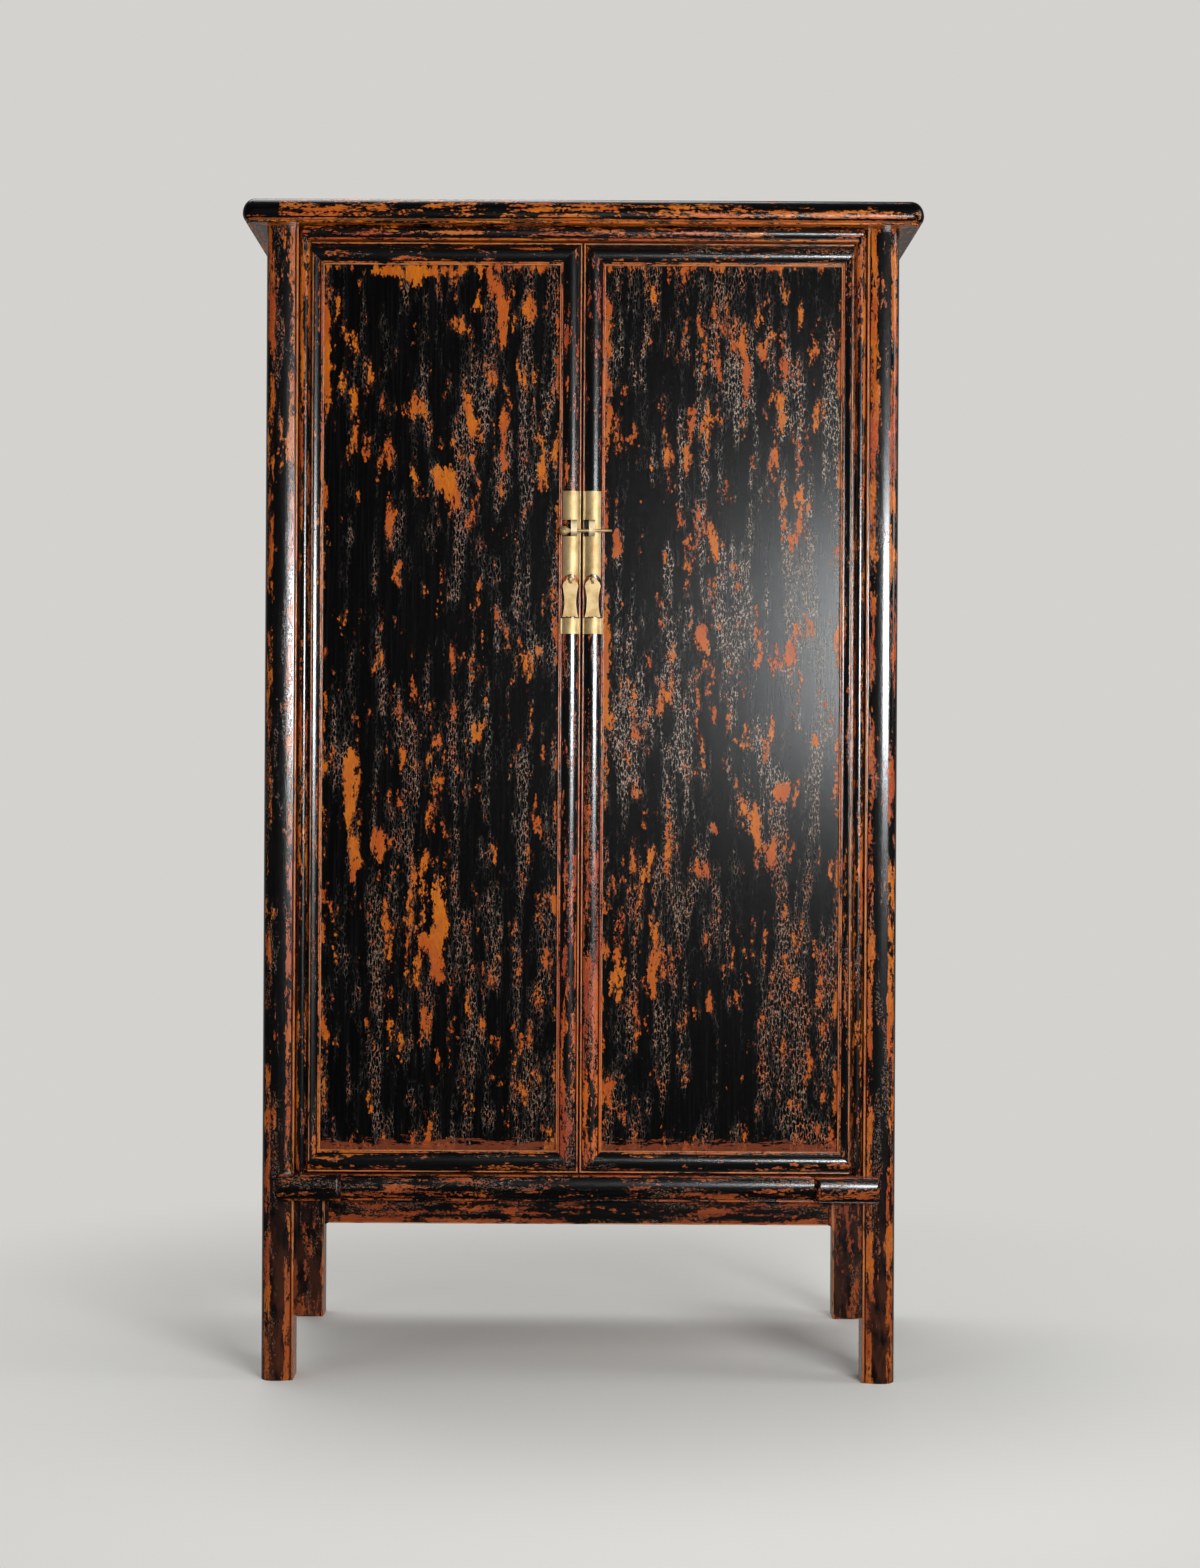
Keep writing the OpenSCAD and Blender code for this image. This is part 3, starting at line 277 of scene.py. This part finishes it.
def worn_lacquer(name, patch, cover, seed, grain="z", fray=(7, 13), chip=(2.6, 4.2), wear=None, spots=(),
                 cell=(3.9, 12.5), crackle=0.5, cracks=None, ghost=0.9, pale=None, veil=0.0,
                 amber=(186, 98, 10), red=(160, 64, 14), arris=None, smear=None, dust=0.0, inside=None,
                 rough=0.3, gloss=0.5, pitted=1.0):
    """Black lacquer worn through to orange lacquer, with a net of pale cracks round the worn places.

    Sizes of marks are across and along the grain, in millimetres.
    The wear is a noise of patches, and the black is gone where it passes cover, so a lower cover wears more.
    fray and chip are the marks that break the patches' edges. wear(f) adds to the noise, and spots are
    places that wear more.
    The cracks run between cells. crackle is about the share of the surface that is cracked, cracks(f) adds
    to it, ghost is how strongly the cracks show, pale(f) is 1 where the cracks are painted palest as a
    painted highlight of the sheen, and veil is how much of the net shows grey where it isn't cracked
    through.
    The orange lies between amber and red. arris(f) is 1 on an edge painted pale, partly as rubbed down to
    the ground and partly as a painted highlight, smear is the height of a panel's rubbed foot, dust is how
    brown the legs are, and inside(f) is 1 on the side that faces into the cabinet.
    """
    f = TimberFinish(name, grain, seed)
    worn = wear_of_black(f, patch, fray, chip, wear, spots)
    bare = worn.rise(cover, cover + BARE_EDGE)

    net = crack_net(f, cell)
    gaps = f.marks(2.2, 4.6, 3, detail=2.5, rough=0.68).rise(0.455, 0.56)
    column = f.marks(24, 170, 4, detail=4.0, rough=0.64) + (worn - cover) * 0.5
    if cracks:
        column = column + cracks(f)
    # The columns pass this limit on about the share of the surface that is asked for
    limit = 0.66 - 0.32 * crackle
    cracked = net * gaps * column.rise(limit - 0.015, limit + 0.035)

    tone = f.marks(patch[0] * 2.5, patch[1] * 2, 6, detail=2.0).rise(0.36, 0.64)
    mottle = f.marks(3.0, 9.0, 7, detail=3.0, rough=0.7).rise(0.38, 0.72)
    orange = f.mix(shade(*amber), shade(*red), tone)
    orange = f.mix(orange, darker(red, 0.62), mottle * 0.55)

    streak = f.marks(2.6, 110, 8, detail=2.0).rise(0.45, 0.75)
    colour = f.mix(shade(*BLACK), shade(*BLACK_STREAK), streak * 0.7)
    if veil:
        colour = f.mix(colour, shade(*VEIL), column.rise(limit - 0.1, limit) * net * veil)
    colour = f.mix(colour, shade(*THIN_BLACK), worn.rise(cover - 0.03, cover) * 0.75)
    by_wear = (worn + (tone - 0.5) * 0.05).rise(cover - 0.13, cover - 0.04)
    line = f.mix(shade(*CRACK), shade(*CRACK_BY_WEAR), by_wear)
    # Paler cracks where the sheen falls on the doors: a painted highlight
    if pale:
        line = f.mix(line, shade(*CRACK_PAINTED_SHEEN), pale(f))
    colour = f.mix(colour, line, cracked * ghost)
    colour = f.mix(colour, orange, bare)
    # Pale lines on edges and bead crests: partly rubbed to the ground, partly painted highlight
    if arris:
        colour = pale_arris_rubbed_and_lit(f, colour, arris)
    if smear:
        colour = rub_foot(f, colour, smear)
    if dust:
        colour = dust_foot(f, colour, dust)
    if inside:
        colour = brown_inside(f, colour, inside)

    fine = f.marks(1.5, 34, 16, detail=2.5, rough=0.6)
    pits = f.marks(2.4, 4.5, 10, detail=1.5)
    f.set(Base_Color=colour, Specular_IOR_Level=gloss,
          Roughness=mottle * 0.03 + fine * 0.05 + bare * 0.06 + cracked * 0.08 + (rough - 0.025))
    f.relief(cracked * 0.5 - bare * 0.6 + pits * (0.33 * pitted) + fine * 0.3, depth=0.0002)
    return f


# Where each piece is worn: beads and edges more, the quirks beside them hardly


def frame_wear(b, width):
    """Extra wear on a moulded member of a door's frame, b out from its inner edge."""
    inner_bead, inner_quirk = b.between(-1.0, 4.2, 0.4), b.between(4.7, 5.9, 0.4)
    outer_bead = b.between(width - 2.6, width + 1, 0.4)
    outer_quirk = b.between(width - 4.0, width - 2.9, 0.3)
    crest = b.between(width * 0.42, width * 0.62, 3.0)
    return inner_bead * 0.11 + outer_bead * 0.08 - inner_quirk * 0.25 - outer_quirk * 0.25 - crest * 0.03


def frame_arris(b, width):
    """The inner edge of a member of a door's frame, and the crest of its outer bead, where pale lines are
    painted: partly rubbed edges, partly painted highlights.
    """
    inner_edge, outer_crest = b.between(-0.6, 0.9, 0.5), b.between(width - 1.9, width - 0.7, 0.5)
    return (inner_edge + outer_crest * 0.7).least(1.0)


def frame_back(f):
    """The side of a door's frame that faces into the cabinet."""
    return f.y.rise(FRAME_BACK - 3, FRAME_BACK - 2)


def panel_back(f):
    return f.y.rise(PANEL_BACK - 0.8, PANEL_BACK - 0.3)


def side_back(f):
    return f.x.size().rise(SIDE_BACK + 1, SIDE_BACK + 0.5)


def panel_wear(f):
    """Extra wear near the frame of a door panel, and low on the left one."""
    ax = f.x.size()
    gap = (ax - PANEL_X0).least(PANEL_X1 - ax).least(f.z - PANEL_Z0).least(PANEL_Z1 - f.z)
    return gap.rise(14, 1) * 0.07 + f.blots([(-250, 745, 240, 460)], f.place) * 0.03


# Where the door panels hardly crack, in millimetres: x, z, width and height
CALM_SPOTS = [(-335, 1374, 120, 420), (148, 1340, 170, 350), (330, 1615, 230, 120), (255, 440, 150, 260)]


def panel_cracks(f):
    """More cracks by the left door's meeting stile and the right one's pivot stile, fewer in calm spots."""
    calm = f.blots(CALM_SPOTS, f.place)
    return f.x.between(-170, -60, 40) * 0.03 + f.x.rise(250, 350) * 0.03 - calm * 0.06


def sheen_paled_cracks(f):
    """The cracks are painted paler in the middle of the height, and more so to the right: a painted
    highlight where the sheen falls on the doors.
    """
    return f.z.between(960, 1440, 220) * f.x.rise(-420, 330)


def pivot_stile_wear(f):
    """The rod beside the moulding is worn more towards the top, and least on its round."""
    ax = f.x.size()
    rod, round_of_rod = ax.rise(ROD_X, ROD_X + 1.5), ax.between(ROD_X + 5, ROD_X + 10, 2)
    high = f.z.rise(1250, 1550) * 0.05 + 0.05
    return frame_wear(ax - PANEL_X1, PIVOT_FRAME_W) + rod * high - round_of_rod * 0.06


def meeting_stile_wear(f):
    return frame_wear(PANEL_X0 - f.x.size(), FRAME_W) + f.z.rise(900, 380) * 0.05


def past_rail(f):
    """How far a place on a door's top or bottom rail lies from the panel."""
    return (f.z - PANEL_Z1).most(PANEL_Z0 - f.z)


def post_wear(f):
    """A post is worn on its bead and on both sides of its round's crest, the left post a little less."""
    b = f.x.size() - POST_X
    bead, quirk = b.between(-2, 3.4, 0.3), b.between(3.8, 5, 0.3)
    inner_flank, crest, outer_flank = b.between(5, 12, 3), b.between(18, 32, 3), b.between(36, 44, 2)
    outside, left = b.rise(45, 48), f.x.rise(10, -10)
    low, high = f.z.rise(300, 60), f.z.rise(1300, 1560)
    return (inner_flank * 0.09 + outer_flank * 0.06 + bead * 0.14 - crest * 0.045 - outside * 0.12
            - left * 0.02 - quirk * 0.3 + low * 0.05 + high * 0.04)


def head_wear(f):
    """The bead of the rail over the doors is worn, and the middle of its face."""
    up = f.z - HEAD_Z
    bead, quirk, face = up.between(0, 3.6, 0.4), up.between(3.9, 4.7, 0.3), up.between(8, 12, 1.5)
    return bead * 0.08 - quirk * 0.25 + face * 0.05


def cap_dark(f):
    """The quirk over the cap's bead and the cap's left end stay black."""
    up = f.z - CAP_Z
    quirk, left_end = up.between(6.6, 7.8, 0.4), f.x.rise(-450, -464) * up.rise(8, 12)
    return quirk * 0.25 + left_end * 0.22


def cap_wear(f):
    """The cap's round is worn along its middle; above that it is worn to the left and dark to the right."""
    up = f.z - CAP_Z
    bead, middle, below = up.rise(6, 4), up.between(8, 26, 3), up.between(9, 17, 2)
    left_above = f.x.rise(150, -50) * up.between(18, 36, 3)
    right = f.x.rise(180, 330)
    return (middle * 0.035 + left_above * 0.025 + bead * 0.06 - right * up.rise(18, 22) * 0.07
            + right * below * 0.04 - cap_dark(f))


def sill_wear(f):
    """Both beads of the bottom rail and the pivot blocks are worn, and the low part of the face between."""
    up, down = f.z - SILL_Z, SILL_TOP - f.z
    beads = up.between(0, 3.4, 0.4) + down.between(0, 3.4, 0.4)
    quirks = up.between(3.5, 4.3, 0.3) + down.between(3.5, 4.3, 0.3)
    return beads * 0.08 + up.between(5, 13, 3) * 0.04 - quirks * 0.25


# Worn spots of the door panels, in millimetres: x, z, width and height
LEFT_SPOTS = [
    (-251, 1475, 20, 60), (-167, 1457, 14, 90), (-194, 1332, 20, 80), (-214, 1358, 24, 46),
    (-344, 1483, 20, 40), (-344, 1412, 16, 50), (-292, 1270, 16, 64), (-278, 1210, 16, 54),
    (-122, 1616, 14, 74), (-190, 1588, 34, 30), (-59, 1360, 17, 64), (-120, 1408, 11, 90),
    (-156, 978, 20, 48), (-345, 890, 24, 120), (-343, 785, 22, 76), (-300, 808, 32, 54),
    (-211, 675, 26, 150), (-70, 868, 13, 76), (-50, 635, 15, 54), (-236, 530, 13, 64),
    (-82, 425, 14, 48), (-315, 418, 14, 42), (-252, 1668, 160, 17), (-386, 1580, 12, 110),
]
RIGHT_SPOTS = [
    (155, 1382, 18, 48), (164, 1456, 16, 44), (109, 1640, 15, 38), (238, 1565, 22, 64),
    (247, 1512, 17, 60), (181, 1115, 22, 46), (52, 1280, 15, 120), (265, 812, 15, 74),
    (292, 806, 14, 66), (297, 890, 34, 24), (181, 775, 28, 32), (200, 833, 22, 28),
    (133, 830, 11, 120), (115, 632, 22, 84), (199, 575, 15, 42), (278, 655, 13, 64),
    (322, 655, 17, 54), (362, 590, 15, 64), (325, 420, 22, 42),
]

PANEL_COAT = dict(
    patch=(16, 52), cover=0.607, fray=(4, 6), wear=panel_wear, cracks=panel_cracks, pale=sheen_paled_cracks,
    veil=0.5, amber=(184, 99, 14), red=(166, 74, 18), smear=PANEL_Z0, inside=panel_back, rough=0.2,
    gloss=0.25, pitted=0.6)
LEFT_PANEL = worn_lacquer(
    "left door panel lacquer", seed=3, spots=LEFT_SPOTS, crackle=0.44, ghost=0.62, **PANEL_COAT)
RIGHT_PANEL = worn_lacquer(
    "right door panel lacquer", seed=11, spots=RIGHT_SPOTS, crackle=0.54, ghost=0.8, **PANEL_COAT)

# In the coats below, arris(f) places pale lines on edges and bead crests, partly rubbed edges and partly
# painted highlights
POST = worn_lacquer(
    "post lacquer", patch=(10, 56), cover=0.58, seed=21, fray=(5, 12), chip=(2.0, 4.0), cell=(2.7, 4.0),
    ghost=0.45, rough=0.17, gloss=0.9, pitted=0.8, dust=0.5, wear=post_wear,
    arris=lambda f: (f.x.size() - POST_X).between(0.4, 1.8, 0.5) * 0.8)

FRAME_COAT = dict(
    fray=(4, 12), cell=(2.8, 4.4), ghost=0.5, rough=0.2, gloss=0.9, pitted=1.4, inside=frame_back)
PIVOT_STILE = worn_lacquer(
    "pivot stile lacquer", patch=(7, 70), cover=0.57, seed=25, crackle=0.4, wear=pivot_stile_wear,
    arris=lambda f: frame_arris(f.x.size() - PANEL_X1, PIVOT_FRAME_W), **FRAME_COAT)
MEETING_STILE = worn_lacquer(
    "meeting stile lacquer", patch=(8, 64), cover=0.555, seed=29, crackle=0.45, wear=meeting_stile_wear,
    amber=(194, 92, 12), red=(152, 56, 18),
    arris=lambda f: frame_arris(PANEL_X0 - f.x.size(), FRAME_W), **FRAME_COAT)
DOOR_RAIL = worn_lacquer(
    "door rail lacquer", grain="x", patch=(7, 50), cover=0.585, seed=33, crackle=0.42,
    wear=lambda f: frame_wear(past_rail(f), FRAME_W),
    arris=lambda f: frame_arris(past_rail(f), FRAME_W), **FRAME_COAT)

HEAD = worn_lacquer(
    "head rail lacquer", grain="x", patch=(6, 64), cover=0.555, seed=37, fray=(3, 12), cell=(3.0, 6),
    crackle=0.4, ghost=0.5, rough=0.22, gloss=0.8, pitted=1.4, wear=head_wear)
CAP_COAT = dict(
    patch=(6, 52), fray=(3, 10), cell=(3.0, 6), rough=0.22, pitted=1.3, amber=(194, 104, 8),
    red=(178, 80, 10))
CAP_LONG = worn_lacquer(
    "cap lacquer along the front", grain="x", cover=0.555, seed=41, crackle=0.25, wear=cap_wear,
    arris=lambda f: (f.z - CAP_Z).between(2.5, 5.0, 0.8) * 0.4, **CAP_COAT)
CAP_SHORT = worn_lacquer(
    "cap lacquer along the sides", grain="y", cover=0.565, seed=43, crackle=0.3,
    wear=lambda f: 0 - cap_dark(f), **CAP_COAT)
# The bottom rail, apron and spandrels take darker oranges than the doors: painted shade, for the light
# falling off towards the floor
SILL = worn_lacquer(
    "bottom rail lacquer", grain="x", patch=(7, 52), cover=0.575, seed=47, fray=(4, 9), cell=(2.6, 3.8),
    crackle=0.55, ghost=0.45, rough=0.19, gloss=0.7, pitted=1.3, amber=(162, 76, 14), red=(132, 52, 14),
    wear=sill_wear)
APRON = worn_lacquer(
    "apron lacquer", grain="x", patch=(10, 60), cover=0.56, seed=51, fray=(5, 10), cell=(2.8, 4),
    crackle=0.55, ghost=0.5, gloss=0.25, amber=(148, 64, 8), red=(118, 44, 10),
    wear=lambda f: f.z.rise(APRON_Z + 14, APRON_Z) * 0.09,
    arris=lambda f: f.z.between(APRON_Z - 1, APRON_Z + 1.6, 0.6))
SPANDREL = worn_lacquer(
    "spandrel lacquer", patch=(9, 50), cover=0.545, seed=53, cell=(3.0, 5), ghost=0.5, gloss=0.3, dust=0.4,
    amber=(144, 66, 12), red=(116, 44, 12),
    arris=lambda f: (f.x.size() - SPANDREL_X).between(6, 9, 0.6) * 0.6)
SIDE_FLAT = worn_lacquer(
    "side panel lacquer", patch=(18, 70), cover=0.64, seed=57, crackle=0.45, rough=0.34, inside=side_back)
SIDE_BAR = worn_lacquer(
    "side rail lacquer", grain="y", patch=(9, 80), cover=0.60, seed=61, crackle=0.4, rough=0.32)
BACK_BAR = worn_lacquer(
    "back rail lacquer", grain="x", patch=(12, 100), cover=0.64, seed=63, crackle=0.35, rough=0.42)
BACK_STILE = worn_lacquer(
    "back stile lacquer", patch=(12, 90), cover=0.62, seed=65, crackle=0.35, rough=0.42)
TOP_FLAT = worn_lacquer(
    "cap panel lacquer", grain="x", patch=(20, 100), cover=0.62, seed=67, crackle=0.45, rough=0.38)


def wood(name, grain, seed):
    """Unpainted wood, browned with age."""
    f = TimberFinish(name, grain, seed)
    rings = f.marks(11, 260, 0, rough=0.5)
    fibre = f.marks(1.6, 60, 1, rough=0.6)
    stain = f.marks(120, 260, 2)
    colour = f.mix(shade(*WOOD_LIGHT), shade(*WOOD_DARK), rings.rise(0.35, 0.65))
    colour = f.mix(colour, darker(WOOD_DARK, 0.72), fibre.rise(0.5, 0.72) * 0.7)
    colour = f.mix(colour, shade(*WOOD_STAIN), stain.rise(0.5, 0.75) * 0.45)
    f.set(Base_Color=colour, Roughness=fibre * 0.15 + 0.55)
    f.relief(fibre, depth=0.00015)
    return f


WOOD_X = wood("bare wood along x", "x", 71)
WOOD_Y = wood("bare wood along y", "y", 74)
WOOD_Z = wood("bare wood along z", "z", 77)
woods = (WOOD_X, WOOD_Y, WOOD_Z)


def metal(name, light, dark, seed):
    """Brass with bright and dull clouds, fine brush marks and dark specks."""
    f = Finish(name)
    cloud = f.noise((16, 16, 22), seed, detail=4.0, rough=0.6)
    brush = f.noise((0.8, 6, 9), seed + 1, detail=3.0, rough=0.6)
    spots = f.noise((2.4, 2.4, 2.4), seed + 2, detail=2.0).rise(0.66, 0.76)
    colour = f.mix(shade(*light), shade(*dark), cloud.rise(0.42, 0.68))
    colour = f.mix(colour, darker(dark, 0.5), spots * 0.5)
    f.set(Base_Color=colour, Metallic=0.8, Roughness=cloud * 0.12 + brush * 0.08 + spots * 0.12 + 0.42)
    f.relief(brush * 0.4 + cloud, depth=0.00005)
    return f


BRASS = metal("satin brass", (212, 184, 136), (184, 150, 100), 81)
PALE_BRASS = metal("rubbed brass", (226, 206, 168), (200, 172, 126), 85)

# A piece has the finish of the first of these words that its name holds
FINISH_BY_WORD = {
    "left_door_panel": LEFT_PANEL, "right_door_panel": RIGHT_PANEL,
    "lock_staple": PALE_BRASS, "lock_sleeve": BRASS, "lock_pin": BRASS, "_pull": BRASS, "foot_band": BRASS,
    "cap_battens": WOOD_Y, "bearers": WOOD_Y, "battens": WOOD_X, "shelf": WOOD_X, "bottom_board": WOOD_X,
    "back_left_panel": WOOD_Z, "back_right_panel": WOOD_Z, "back_stile": BACK_STILE,
    "cap_back_rail": CAP_LONG, "cap_front_rail": CAP_LONG, "cap_panel": TOP_FLAT, "cap": CAP_SHORT,
    "back": BACK_BAR, "post": POST, "pivot_stile": PIVOT_STILE, "meeting_stile": MEETING_STILE,
    "_door_": DOOR_RAIL, "side_panel": SIDE_FLAT, "side": SIDE_BAR, "front_top_rail": HEAD,
    "front_apron": APRON, "spandrel": SPANDREL, "front_bottom_rail": SILL, "pivot_block": SILL,
}
FINISH = {name: next(coat for word, coat in FINISH_BY_WORD.items() if word in name) for name in NODES}


def is_brass(name):
    return name == "lock_pin" or any(word in name for word in ("_lock_", "_pull", "foot_band"))


# Shape: the pieces' meshes are loose triangles, so they are joined, their edges eased and then smoothed


def shape_steps(name):
    """An empty group of shape nodes, the shape that goes into it and its last node."""
    steps = bpy.data.node_groups.new(name, "GeometryNodeTree")
    steps.interface.new_socket("Geometry", in_out="INPUT", socket_type="NodeSocketGeometry")
    steps.interface.new_socket("Geometry", in_out="OUTPUT", socket_type="NodeSocketGeometry")
    start, end = steps.nodes.new("NodeGroupInput"), steps.nodes.new("NodeGroupOutput")
    return steps, Wire(steps, start.outputs[0]), end


def join_points():
    """Loose triangles made one skin, without the normals that they came with."""
    steps, shape, end = shape_steps("join points")
    shape = add_node(steps, "GeometryNodeRemoveAttribute", inputs={
        "Geometry": shape, "Name": "custom_normal"})
    shape = add_node(steps, "GeometryNodeMergeByDistance", inputs={"Geometry": shape, "Distance": 0.00001})
    steps.links.new(shape.socket, end.inputs[0])
    return steps


def smooth_below(degrees):
    """Smooth shading, apart from edges that turn by more than this angle."""
    steps, shape, end = shape_steps("smooth faces")
    turn = add_node(steps, "GeometryNodeInputMeshEdgeAngle", out="Unsigned Angle")
    soft = add_node(steps, "FunctionNodeCompare", {"data_type": "FLOAT", "operation": "LESS_EQUAL"},
                    {"A": turn, "B": math.radians(degrees)})
    for domain, smooth in (("FACE", True), ("EDGE", soft)):
        shape = add_node(steps, "GeometryNodeSetShadeSmooth", {"domain": domain},
                         {"Geometry": shape, "Shade Smooth": smooth})
    steps.links.new(shape.socket, end.inputs[0])
    return steps


# Edges that turn by less than the first angle shade smooth, and those that turn by more than the second are
# eased, both in degrees
SMOOTH_TURN, EASED_TURN = 38, 50
JOIN, SMOOTH = join_points(), smooth_below(SMOOTH_TURN)

# How far the edges of a piece are eased, in millimetres, by a word in its name
EASE = {"spandrel": 2.2, "apron": 1.6, "post": 0.6, "shelf": 0.8, "board": 0.6, "bearers": 0.8,
        "pivot_block": 1.2, "lock_sleeve": 0.15, "foot_band": 0.15, "staple": 0.4, "pull": 0.35,
        "lock_pin": 0.4}
OTHER_EASE = 0.35


def ease_of(name):
    return next((width for word, width in EASE.items() if word in name), OTHER_EASE)


for name, piece in NODES.items():
    piece.data.materials.clear()
    piece.data.materials.append(FINISH[name].mat)
    piece.modifiers.new("join", "NODES").node_group = JOIN
    ease = piece.modifiers.new("ease", "BEVEL")
    width = ease_of(name)
    ease.width = width / 1000
    ease.segments = 3 if width > 1 else 2
    ease.limit_method = "ANGLE"
    ease.angle_limit = math.radians(EASED_TURN)
    piece.modifiers.new("smooth", "NODES").node_group = SMOOTH
    flat = piece.modifiers.new("flat faces stay flat", "WEIGHTED_NORMAL")
    flat.mode = "FACE_AREA_WITH_ANGLE"
    flat.weight = 50
    flat.keep_sharp = True
    "brass" if is_brass(name) else "bare_wood" if FINISH[name] in woods else "black_lacquer"


# Stage: a pale floor that fades into the backdrop, and soft boxes

BACKDROP = shade(212, 210, 206)
FLOOR_COLOUR = shade(238, 237, 233)
# Metres from the cabinet's middle between which the floor turns into the backdrop
FLOOR_FADE = (0.6, 1.6)


def pale_floor():
    """A floor that fades into the backdrop, so that no horizon shows."""
    mesh = bpy.data.meshes.new("floor")
    sheet = bmesh.new()
    bmesh.ops.create_grid(sheet, x_segments=1, y_segments=1, size=30.0)
    sheet.to_mesh(mesh)
    sheet.free()
    ground = bpy.data.materials.new("pale floor")
    ground.use_nodes = True
    tree = ground.node_tree
    surface = tree.nodes["Principled BSDF"]
    surface.inputs["Base Color"].default_value = FLOOR_COLOUR
    surface.inputs["Roughness"].default_value = 0.6
    own = add_node(tree, "ShaderNodeTexCoord", out="Object")
    far = add_node(tree, "ShaderNodeVectorMath", {"operation": "LENGTH"}, {0: own}, "Value")
    glow = add_node(tree, "ShaderNodeEmission", inputs={"Color": BACKDROP})
    both = add_node(tree, "ShaderNodeMixShader", inputs={
        0: far.rise(*FLOOR_FADE), 1: Wire(tree, surface.outputs[0]), 2: glow})
    tree.links.new(both.socket, tree.nodes["Material Output"].inputs[0])
    mesh.materials.append(ground)
    floor = bpy.data.objects.new("floor", mesh)
    scene.collection.objects.link(floor)
    floor.visible_glossy = False
    return floor


floor = pale_floor()


def lamp(name, place, target, size, watts, colour=(1, 1, 1), seen=True):
    """A soft box; one that isn't seen lights the cabinet but leaves no reflection on it."""
    light = bpy.data.lights.new(name, "AREA")
    light.shape = "RECTANGLE"
    light.size, light.size_y = size
    light.energy = watts
    light.color = colour
    box = bpy.data.objects.new(name, light)
    scene.collection.objects.link(box)
    box.location = place
    box.rotation_euler = (Vector(target) - Vector(place)).to_track_quat("-Z", "Y").to_euler()
    box.visible_glossy = seen


lamp("soft box", place=(1.25, -3.2, 1.27), target=(0.1, 0.0, 1.0), size=(1.3, 0.6), watts=78,
     colour=(0.96, 0.985, 1.0))
lamp("front light", place=(1.2, -2.4, 2.3), target=(0.0, 0.0, 1.3), size=(0.9, 0.9), watts=9, seen=False)
lamp("left light", place=(-2.6, -2.6, 2.1), target=(0.0, 0.0, 1.2), size=(1.2, 1.6), watts=8, seen=False)
lamp("side light", place=(3.4, -0.6, 2.2), target=(0.0, 0.0, 0.9), size=(1.2, 2.0), watts=22)
lamp("top light", place=(-0.6, 0.9, 4.2), target=(0.0, 0.0, 0.8), size=(2.2, 2.2), watts=60)


def studio():
    """A plain, even light. Polish mirrors a dim backdrop behind the cabinet and a dark room before it."""
    world = bpy.data.worlds.new("studio")
    world.use_nodes = True
    tree = world.node_tree
    tree.nodes.clear()
    way = add_node(tree, "ShaderNodeTexCoord", out="Generated")
    behind = add_node(tree, "ShaderNodeSeparateXYZ", inputs={0: way}, out="Y").rise(0.4, 0.95)
    camera_ray, glossy_ray, clear_ray = (
        add_node(tree, "ShaderNodeLightPath", out="Is %s Ray" % kind)
        for kind in ("Camera", "Glossy", "Transmission"))
    shown = add_node(tree, "ShaderNodeBackground", inputs={"Color": BACKDROP})
    fill = add_node(tree, "ShaderNodeBackground", inputs={"Color": (1, 1, 1, 1), "Strength": 0.28})
    mirrored = add_node(tree, "ShaderNodeBackground", inputs={
        "Color": BACKDROP, "Strength": behind * 0.35 + 0.05})
    lit = add_node(tree, "ShaderNodeMixShader", inputs={0: glossy_ray, 1: fill, 2: mirrored})
    sky = add_node(tree, "ShaderNodeMixShader", inputs={0: camera_ray.most(clear_ray), 1: lit, 2: shown})
    tree.links.new(sky.socket, tree.nodes.new("ShaderNodeOutputWorld").inputs[0])
    return world


scene.world = studio()

# Camera: level, a little right of the middle, with the photograph's slight lean
lens = bpy.data.cameras.new("camera")
camera = bpy.data.objects.new("camera", lens)
scene.collection.objects.link(camera)
scene.camera = camera
lens.sensor_fit = "AUTO"
lens.sensor_width = 36
lens.lens = 57.6
lens.shift_x, lens.shift_y = 0.0108, -0.0089
lens.clip_end = 100
CAMERA_PLACE = (0.00375, -4.018, 0.92)
LEAN = math.radians(0.3)
camera.matrix_world = (
    Matrix.Translation(CAMERA_PLACE) @ Matrix.Rotation(math.pi / 2, 4, "X") @ Matrix.Rotation(LEAN, 4, "Z"))
scene.view_settings.view_transform = "Standard"
